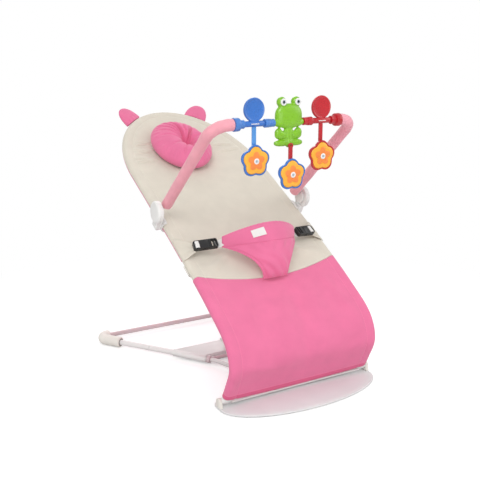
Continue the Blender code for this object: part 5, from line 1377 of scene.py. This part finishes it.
# A plain white woven patch is sewn on the band, a little turned.
LABEL_WIDE = 0.027
LABEL_HIGH = 0.019
LABEL_X = -0.032
LABEL_TURN = np.radians(-7)
LABEL_AT = 0.14
label_x = np.linspace(1, -1, 30)[None] * LABEL_WIDE / 2
label_y = np.linspace(-1, 1, 26)[:, None] * LABEL_HIGH / 2
turned_x = label_x * np.cos(LABEL_TURN) - label_y * np.sin(LABEL_TURN)
turned_y = label_x * np.sin(LABEL_TURN) + label_y * np.cos(LABEL_TURN)
label_grid = pad_surface(
    (LABEL_X + turned_x) / PAD_HALF, LABEL_AT + turned_y / PAD_LONG,
    PAD_THICK / 2 + PAD_SWELL + 0.0018,
)
label_weave = woven_cloth(
    "label_weave", (0.80, 0.785, 0.765), 0.93, 0.0007
)
label = cloth_piece("label_patch", label_grid, stacked(label_x, label_y), 0.0005, False)
dress(label, label_weave, "seat")

black_plastic = moulded_plastic("black_plastic", (0.012, 0.012, 0.013), 0.36, 0.6)
for side in ("left", "right"):
    for node in ("buckle_socket_" + side, "buckle_plug_" + side):
        eased(node, node + "_moulded", 0.0006, black_plastic, "seat")

BUCKLE_IN = np.array([0.1100, 0.176, 0.3240])
BUCKLE_OUT = np.array([0.1680, 0.189, 0.3200])
BUCKLE_LENGTH = 0.058
BUCKLE_THICK = 0.010
STRAP_THICK = 0.0016
STRAP_WIDTH = 0.020
buckle_axis = unit(BUCKLE_OUT - BUCKLE_IN)
buckle_face = np.array([0.0, -0.62, 0.78])
buckle_face = unit(buckle_face - buckle_axis * (buckle_face @ buckle_axis))
buckle_side = np.cross(buckle_face, buckle_axis)


def on_buckle(along, off, side=0):
    """A point on the right buckle: along it from the pad, off its middle and across it."""
    return BUCKLE_IN + buckle_axis * along + buckle_side * side + buckle_face * off


def sheet_pair(name, grid, marks, thickness, cloth, nodes, rests_on, out=True, **cut):
    """The right and the left copy of a small sheet; how it was cut and how it is held are not
    used.
    """
    for side, flip in SIDES:
        piece = cloth_piece(name + side, grid * flip, marks, thickness, (flip[0] > 0) == out)
        dress(piece, cloth, "seat", *[node + side for node in nodes])


webbing = woven_cloth("white_webbing", (0.78, 0.77, 0.75), 0.9, 0.0016)
cross = np.linspace(-STRAP_WIDTH / 2, STRAP_WIDTH / 2, 21)
under = -BUCKLE_THICK / 2 - STRAP_THICK / 2 - 0.0003
pad_end = pad_surface(np.array(1.0), np.array(PAD_BAND / 2), np.array(0.0))
pad_end[0] = PAD_HALF - 0.003
ends = np.array([pad_end, on_buckle(-0.0015, under), on_buckle(0.0090, under)])
steps = np.linspace(0, lengths_along(ends)[-1], 24)
sheet_pair(
    "webbing_", evenly(ends, steps)[:, None] + buckle_side * cross[None, :, None],
    stacked(cross[None], steps[:, None]), STRAP_THICK - 0.0003, webbing, ["waist_strap_"],
    "buckle_plug_", flat=(STRAP_WIDTH, float(steps[-1])), held="stretched",
)

# At its outer end each buckle hangs from a loop of white webbing round its bar.
LOOP_START, LOOP_END = 0.0440, 0.0530
LOOP_BEND = 0.0012
LOOP_SHARE = 0.92
over_bar = BUCKLE_THICK / 2 + 0.0006
route = np.array([
    on_buckle(LOOP_START, -0.003),
    on_buckle(LOOP_START, over_bar - LOOP_BEND),
    on_buckle(LOOP_START + LOOP_BEND, over_bar),
    on_buckle(LOOP_END - LOOP_BEND, over_bar),
    on_buckle(LOOP_END, over_bar - LOOP_BEND),
    on_buckle(LOOP_END, -0.003),
])
steps = np.linspace(0, lengths_along(route)[-1], 30)
narrowed = (cross * LOOP_SHARE)[None, :, None]
sheet_pair(
    "socket_loop_", evenly(route, steps)[:, None] + buckle_side * narrowed,
    stacked(cross[None], steps[:, None]), 0.0011, webbing, [], "buckle_socket_",
    flat=(STRAP_WIDTH * LOOP_SHARE, float(steps[-1])), held="folded",
)

# The wings rise from the hem round the seat's tube and are gathered at the buckle's bar.
BAND_LOW_Y = 0.184
BAND_HIGH_Y = 0.243
low_at, high_at = distance_at_y(BAND_LOW_Y), distance_at_y(BAND_HIGH_Y)
spread = np.linspace(0, 1, 26)
station = stations(low_at + (high_at - low_at) * spread)
start = around(station, HEM_OUT + 0.0016, np.linspace(28.7, 59.3, 8))
crest = around(station, HEM_OUT + 0.0056, [90])[:, 0]
tips = [on_buckle(BUCKLE_LENGTH - 0.009, 0, side * (STRAP_WIDTH / 2 - 0.001)) for side in (-1, 1)]
tip = line(*tips, 26) - buckle_face * (BUCKLE_THICK / 2 + 0.0003 + 0.0009)
t = np.linspace(0, 1, 30)[1:, None]
wing = start[:, -1:] * (1 - t) ** 2 + 2 * crest[:, None] * t * (1 - t) + tip[:, None] * t ** 2
wing = np.concatenate([start, wing], 1)
columns = wing.shape[1]
gather = 0.0008 * np.sin(spread * 19)[:, None] * np.linspace(0, 1, columns)[None] ** 0.5
wing = wing + grid_normals(wing) * gather[..., None]
sheet_pair(
    "side_wing_", wing, stacked(np.linspace(0, 0.05, columns)[None], spread[:, None] * 0.06),
    CLOTH, cloth_upper, ["side_band_"], "buckle_socket_", out=False, flat=(0.07, 0.075),
    held="gathered", area=min(grid_area(wing), 0.00525),
)


# Toy arch. A bent rod in two foam sleeves, whose ends are set in moulded hubs; the hubs' stub
# axles turn in round caps on the clips that are pressed over the seat's edges.

ARCH_PIVOT = np.array([0.0, 0.294, 0.385])
ARCH_RISE = np.radians(139.1)
ARCH_UP = np.array([0.0, np.cos(ARCH_RISE), np.sin(ARCH_RISE)])
ARCH_SIDE = np.cross(ARCH_UP, RIGHT)
ARCH_HALF = 0.182
ARCH_ORIGIN = ARCH_PIVOT + np.array([0.0, ARCH_UP[2], -ARCH_UP[1]]) * 0.012
BAR = ARCH_ORIGIN + ARCH_UP * 0.3215
ARCH_BEND = 0.040
ARCH_TIP_BEND = 0.0075
ARCH_ROD_R = 0.0042
FOAM_R = 0.0132
FOAM_STOPS = (0.1395, 0.1345)
HUB_INNER = 0.1965

corner = ARCH_ORIGIN + RIGHT * ARCH_HALF
foam_end = corner + ARCH_UP * 0.008
tip_end = np.array([HUB_INNER + 0.003, corner[1], corner[2]])
tip_bend = rounded_corner(tip_end, corner, foam_end, ARCH_TIP_BEND, 10)
bend = rounded_corner(foam_end, BAR + RIGHT * ARCH_HALF, BAR, ARCH_BEND, 24)
arm = np.vstack([tip_end, tip_bend, line(foam_end, bend[0], 10)[:-1], bend])
arch_metal = coated_steel("arch_metal", (0.70, 0.70, 0.71), 0.25)
rod = tube_part(np.vstack([arm, mirrored(arm)[::-1]]), ARCH_ROD_R, ARCH_SIDE, 24)
made("arch_rod", [rod], arch_metal, "toy_arch", "arch_tube")

foam = surfaced(
    "pink_foam", (0.86, 0.37, 0.44), 0.9, clouds=30.0, gloss=(0.75, 0.92), scuffs=70.0,
    grain=800.0, depth=0.00025, sockets={"Sheen Weight": 0.2},
)
for (side, flip), stop in zip(SIDES, FOAM_STOPS):
    path = np.vstack([line(foam_end, bend[0], 30)[:-1], bend, [stop, BAR[1], BAR[2]]])
    swell = FOAM_R - 0.0004 + 0.0002 * np.sin(np.arange(len(path)) * 0.9)
    part = tube_part(path * flip, swell, ARCH_SIDE, 40, 0.0018)
    sleeve = made("foam_sleeve_" + side, [part], foam, "toy_arch", "foam_" + side)
    eased("arch_hub_" + side, "arch_hub_moulded_" + side, 0.0008, white_plastic, "toy_arch")
    eased("arch_clamp_" + side, "arch_clip_" + side, 0.0010, white_plastic, "seat", segments=3)


# Spacers and paddles. Hollow moulded toys strung on the rod: a stepped blue and a stepped red
# spacer on each side, and an oval paddle over a hub on each.

TOY_HUB_R = 0.0064
TOY_HUB_HALF = 0.0250
BLUE_X = -0.084
FROG_X = 0.003
RED_X = 0.089
PADDLE_HALF = 0.0250
PADDLE_TALL = 0.0255
PADDLE_THICK = 0.0075

blue_plastic = moulded_plastic("blue_plastic", (0.035, 0.165, 0.56), 0.28, 0.85, 0.3)
sky_plastic = moulded_plastic("sky_plastic", (0.085, 0.30, 0.71), 0.28, 0.88, 0.3)
red_plastic = moulded_plastic("red_plastic", (0.52, 0.010, 0.020), 0.28, 0.8, 0.3)
mid_blue_plastic = moulded_plastic(
    "mid_blue_plastic", (0.065, 0.215, 0.60), 0.28, 0.88, 0.3
)
# Each spacer's node, its ends along the rod, its radius at each end, and its plastic.
SPACERS = (
    ("blue_spacer_outer", -0.1342, -0.1095, 0.0145, 0.0095, mid_blue_plastic),
    ("blue_spacer_inner", -0.0585, -0.0345, 0.0095, 0.0087, mid_blue_plastic),
    ("red_spacer_inner", 0.0405, 0.0635, 0.0087, 0.0095, red_plastic),
    ("red_spacer_outer", 0.1145, 0.1392, 0.0095, 0.0145, red_plastic),
)


def stepped_profile(start, end, big, small):
    """A spacer: a wide cup, a rounded step, a narrow neck and a small rolled rim."""
    at = start + (end - start) * 0.52
    e = 0.0010
    return [
        (start, 0), (start, big - e), (start + e * 0.3, big - e * 0.3), (start + e, big),
        (at - e * 1.2, big * 0.97), (at - e * 0.4, big * 0.97 - e * 0.4),
        (at, big * 0.97 - e * 1.4), (at + e, small + e * 0.2), (at + 2 * e, small),
        (end - 2 * e, small * 0.96), (end - e, small * 0.99), (end - e * 0.3, small * 0.97),
        (end, small - e), (end, 0),
    ]


for node, start, end, first, last, material in SPACERS:
    profile = stepped_profile(start, end, max(first, last), min(first, last))
    if last > first:
        profile = [(start + end - along, radius) for along, radius in profile]
    spacer = turned_part(profile, BAR, RIGHT, UP)
    made(node + "_moulded", [spacer], material, "toy_arch", node)


def paddle_part(x):
    """An oval disc: loops of the oval stepped in depth, with a raised rim round a shallow dish."""
    middle = np.array([x, BAR[1], BAR[2] + TOY_HUB_R * 0.6 + PADDLE_TALL])
    turn = full_turn(96)[None]
    front = [
        (0.0, 0.55), (0.55, 0.60), (0.80, 0.68), (0.86, 0.80), (0.89, 0.98), (0.93, 1.0),
        (0.975, 0.82), (1.0, 0.35),
    ]
    section = np.array([(share, -deep) for share, deep in front] + front[::-1])
    share, deep = section[:, :1], section[:, 1:]
    return ringed(middle + stacked(
        PADDLE_HALF * share * np.cos(turn), PADDLE_THICK / 2 * deep,
        PADDLE_TALL * share * np.sin(turn),
    ))


for colour, x, material in (("blue", BLUE_X, blue_plastic), ("red", RED_X, red_plastic)):
    middle = BAR + RIGHT * x
    hub = turned_part(bar_profile(-TOY_HUB_HALF, TOY_HUB_HALF, TOY_HUB_R), middle, RIGHT, UP)
    body = colour + "_toy"
    made(colour + "_oval_paddle", [paddle_part(x), hub], material, body, colour + "_paddle")
    sight_at = middle - (0, TOY_HUB_R - 0.0007, 0)
    sight = tube_part(
        line(sight_at - RIGHT * 0.010, sight_at + RIGHT * 0.010, 3), 0.0011, UP, 16
    )
    made(colour + "_rod_window", [sight], white_plastic, body)


# Stems and flowers. Each stem is a flat moulded bar with a headed pin, and on the pin spins a
# lobed dish with orange-yellow petals pressed into it and a smaller orange flower on top.

STEM_WIDTH = 0.0100
STEM_THICK = 0.0045
STEM_ROUND = 0.35
STEM_DROP = 0.0780
STEM_RIBS = 61
RATTLE_DROP = 0.062
FLOWER_R = 0.0350
FLOWER_LOBE = 0.20
FLOWER_RIM = 0.0040
FLOWER_DEPTH = 0.0070
NOTCH_ROUND = 0.03
FRONT = np.array([0.0, -1.0, 0.0])

yellow_plastic = moulded_plastic("yellow_plastic", (0.92, 0.43, 0.035), 0.34, 0.92, 0.2)
orange_plastic = moulded_plastic(
    "orange_plastic", (0.90, 0.25, 0.045), 0.36, 0.9, 0.2
)
grey_plastic = moulded_plastic(
    "grey_plastic", (0.36, 0.42, 0.50), 0.4, 0.9
)


def lobed_part(centre, section, sides=150):
    """A lobed turning of (radius, lobe share, place towards the front) rows.

    The five petals are R (1 - L s + L s sqrt(cos(2.5 t)^2 + e)), with e rounding the notches.
    """
    turn = full_turn(sides)[None]
    radius, share, front = (np.asarray(section, float)[:, k][:, None] for k in range(3))
    petal = np.sqrt(np.cos(2.5 * turn) ** 2 + NOTCH_ROUND) / np.sqrt(1 + NOTCH_ROUND)
    reach = radius * (1 - FLOWER_LOBE * share + FLOWER_LOBE * share * petal)
    return ringed(centre + stacked(reach * np.sin(turn), -front, reach * np.cos(turn)))


def stem_part(top, length):
    """A flat ribbed bar that hangs from a point: its rounded section repeated down its length."""
    turn = full_turn(40)
    ring = signed_power(np.cos(turn), STEM_ROUND) * STEM_WIDTH / 2
    deep = signed_power(np.sin(turn), STEM_ROUND) * STEM_THICK / 2
    ribs = np.linspace(0.0010, length - 0.0010, STEM_RIBS)
    places = np.concatenate([[0.0, 0.0], ribs, [length, length]])[:, None]
    waves = 0.98 + 0.02 * np.cos(np.pi * np.arange(STEM_RIBS) / 1.5)
    size = np.concatenate([[0.0, 0.8], waves, [0.8, 0.0]])[:, None]
    return ringed(top + stacked(ring * size, deep * size, -places))


# Each flower's name, the top of its stem, the drop to its pin, its plastics and its body.
rattle_top = np.array([FROG_X, BAR[1] - 0.0098, BAR[2] - 0.050])
BLOSSOMS = (
    ("blue", BAR + RIGHT * BLUE_X, STEM_DROP, sky_plastic, blue_plastic, "blue_toy"),
    ("red", BAR + RIGHT * RED_X, STEM_DROP, red_plastic, red_plastic, "red_toy"),
    ("rattle", rattle_top, RATTLE_DROP, red_plastic, blue_plastic, "rattle"),
)
back = STEM_THICK / 2 + 0.0003
front = back + FLOWER_DEPTH
inside_r = FLOWER_R - FLOWER_RIM
DISH = (
    (0.0, 0, back), (0.02, 1, back), (FLOWER_R - 0.0012, 1, back),
    (FLOWER_R - 0.0004, 1, back + 0.0006), (FLOWER_R, 1, back + 0.002),
    (FLOWER_R, 1, front - 0.0014), (FLOWER_R - 0.0005, 1, front - 0.0004),
    (FLOWER_R - 0.0015, 1, front), (inside_r + 0.0010, 1, front),
    (inside_r + 0.0003, 1, front - 0.0004), (inside_r, 1, front - 0.0012),
    (inside_r, 1, back + 0.0028), (0.0, 0, back + 0.0028),
)
PETALS = (
    (0.0, 0, back + 0.0032), (inside_r - 0.0004, 1, back + 0.0032),
    (inside_r - 0.0004, 1, front - 0.0004), (inside_r - 0.0010, 1, front + 0.0004),
    (inside_r - 0.0022, 1, front + 0.0010), (inside_r * 0.72, 1, front + 0.0016),
    (inside_r * 0.40, 1, front + 0.0014), (0.0, 0, front + 0.0010),
)
INNER_PETALS = (
    (0.0, 0, front + 0.0008), (0.0205, 2.0, front + 0.0008), (0.0205, 2.0, front + 0.0020),
    (0.0196, 2.0, front + 0.0024), (0.009, 1.2, front + 0.0026), (0.0, 0, front + 0.0026),
)
EYE = (
    (0.0, 0, front + 0.0020), (0.0064, 0, front + 0.0020), (0.0064, 0, front + 0.0030),
    (0.0057, 0, front + 0.0036), (0.0036, 0, front + 0.0038), (0.0030, 0, front + 0.0030),
    (0.0, 0, front + 0.0030),
)
for name, top_at, drop, stem_plastic, rim_plastic, body in BLOSSOMS:
    hang = 0.0 if name == "rattle" else TOY_HUB_R * 0.9
    end = top_at - UP * drop
    parts = [
        stem_part(top_at - UP * hang, drop - hang),
        turned_part(bar_profile(-STEM_THICK / 2, STEM_THICK / 2, 0.0062), end, FRONT, UP, 36),
        turned_part(bar_profile(0, 0.0068, 0.0026), end, FRONT, UP, 24),
    ]
    if name == "rattle":
        half = FRONT * STEM_THICK / 2
        parts.append(sleeve_part(top_at - half, top_at + half, 0.0060, 0.0033))
    made(name + "_flat_stem", parts, stem_plastic, body, name + "_stem")
    flower = name + "_flower"
    made(name + "_lobed_dish", [lobed_part(end, DISH)], rim_plastic, flower, flower + "_dish")
    petals = [lobed_part(end, PETALS)]
    made(name + "_yellow_petals", petals, yellow_plastic, flower, flower + "_petals")
    made(name + "_orange_petals", [lobed_part(end, INNER_PETALS)], orange_plastic, flower)
    made(name + "_flower_middle", [lobed_part(end, EYE, 40)], white_plastic, flower)
    button = bar_profile(front + 0.0024, front + 0.0035, 0.0027, edge=0.0004)
    button = turned_part(button, end, FRONT, UP, 30)
    made(name + "_flower_button", [button], grey_plastic, flower)


# Frog. One hollow moulding in two glued halves, joined here in one soft form: a broad head with
# raised eyes, stubs for the rod, a slim body, thighs and feet.

green_plastic = moulded_plastic("green_plastic", (0.215, 0.52, 0.010), 0.30, 0.88, 0.35)
FROG_EYE_X = 0.0185
FROG_LEG_X = 0.0085
FROG_GROOVE = 0.0011
frog_at = BAR + RIGHT * FROG_X


def ball_part(place, reach, power=1.0, rows=28, sides=40):
    """A superellipsoid: half sizes times powers of the sines and cosines of latitude and turn."""
    lat = np.linspace(0, np.pi, rows)[:, None]
    turn = full_turn(sides)[None]
    form = stacked(np.sin(lat) * np.cos(turn), np.sin(lat) * np.sin(turn), np.cos(lat))
    return ringed(frog_at + place + signed_power(form, power) * np.asarray(reach))


parts = [
    ball_part((0, 0, 0.0130), (0.0335, 0.0130, 0.0270), 0.84),
    ball_part((0, 0, -0.0290), (0.0125, 0.0085, 0.0260)),
]
for side in (-1, 1):
    stub = line(frog_at + (side * 0.020, 0, -0.002), frog_at + (side * 0.036, 0, 0.0), 4)
    parts += [
        ball_part((side * FROG_EYE_X, 0, 0.0430), (0.0115, 0.0095, 0.0115)),
        ball_part((side * 0.0185, 0, -0.0275), (0.0160, 0.0072, 0.0098)),
        ball_part((side * 0.0250, 0, -0.0225), (0.0095, 0.0068, 0.0105)),
        ball_part((side * 0.0170, 0, -0.0445), (0.0195, 0.0072, 0.0070), 0.8),
        tube_part(stub, [0.0098, 0.0088, 0.0075, 0.0066], UP, 30),
    ]
parts.append(ball_part((0, -0.004, -0.0430), (0.0085, 0.0070, 0.0085)))
parts.append(turned_part(bar_profile(-0.037, 0.037, TOY_HUB_R), frog_at, RIGHT, UP))
frog = piece_from("frog_moulding", parts)
fused = frog.modifiers.new("fused", "REMESH")
fused.mode = "VOXEL"
fused.voxel_size = 0.0011
softened = frog.modifiers.new("softened", "SMOOTH")
softened.iterations = 10
softened.factor = 0.5
settle(frog)
place = points_of(frog.data)
x, z = place[:, 0] - frog_at[0], place[:, 2] - frog_at[2]
belly = np.clip((-0.016 - z) / 0.004, 0, 1) * np.clip((z + 0.050) / 0.004, 0, 1)
belly = belly * (place[:, 1] < frog_at[1])
groove = bell(x, 0.0010) + bell(np.abs(x), 0.0011, FROG_LEG_X)
move_points(frog.data, place + (belly * groove * FROG_GROOVE)[:, None] * (0, 1, 0))
dress(frog, green_plastic, "frog", "frog")

# Each disc of an eye: its name, back, front, radius and plastic.
EYE_DISCS = (
    ("eye", 0.0070, 0.0096, 0.0076, white_plastic),
    ("iris", 0.0080, 0.0099, 0.0045, grey_plastic),
    ("pupil", 0.0080, 0.0102, 0.0030, black_plastic),
)
for side, x in (("left", 0.0005 - FROG_EYE_X), ("right", 0.0005 + FROG_EYE_X)):
    for disc, start, end, radius, material in EYE_DISCS:
        part = turned_part(bar_profile(start, end, radius), frog_at + (x, 0, 0.0435), FRONT, UP)
        made("frog_%s_%s" % (disc, side), [part], material, "frog")
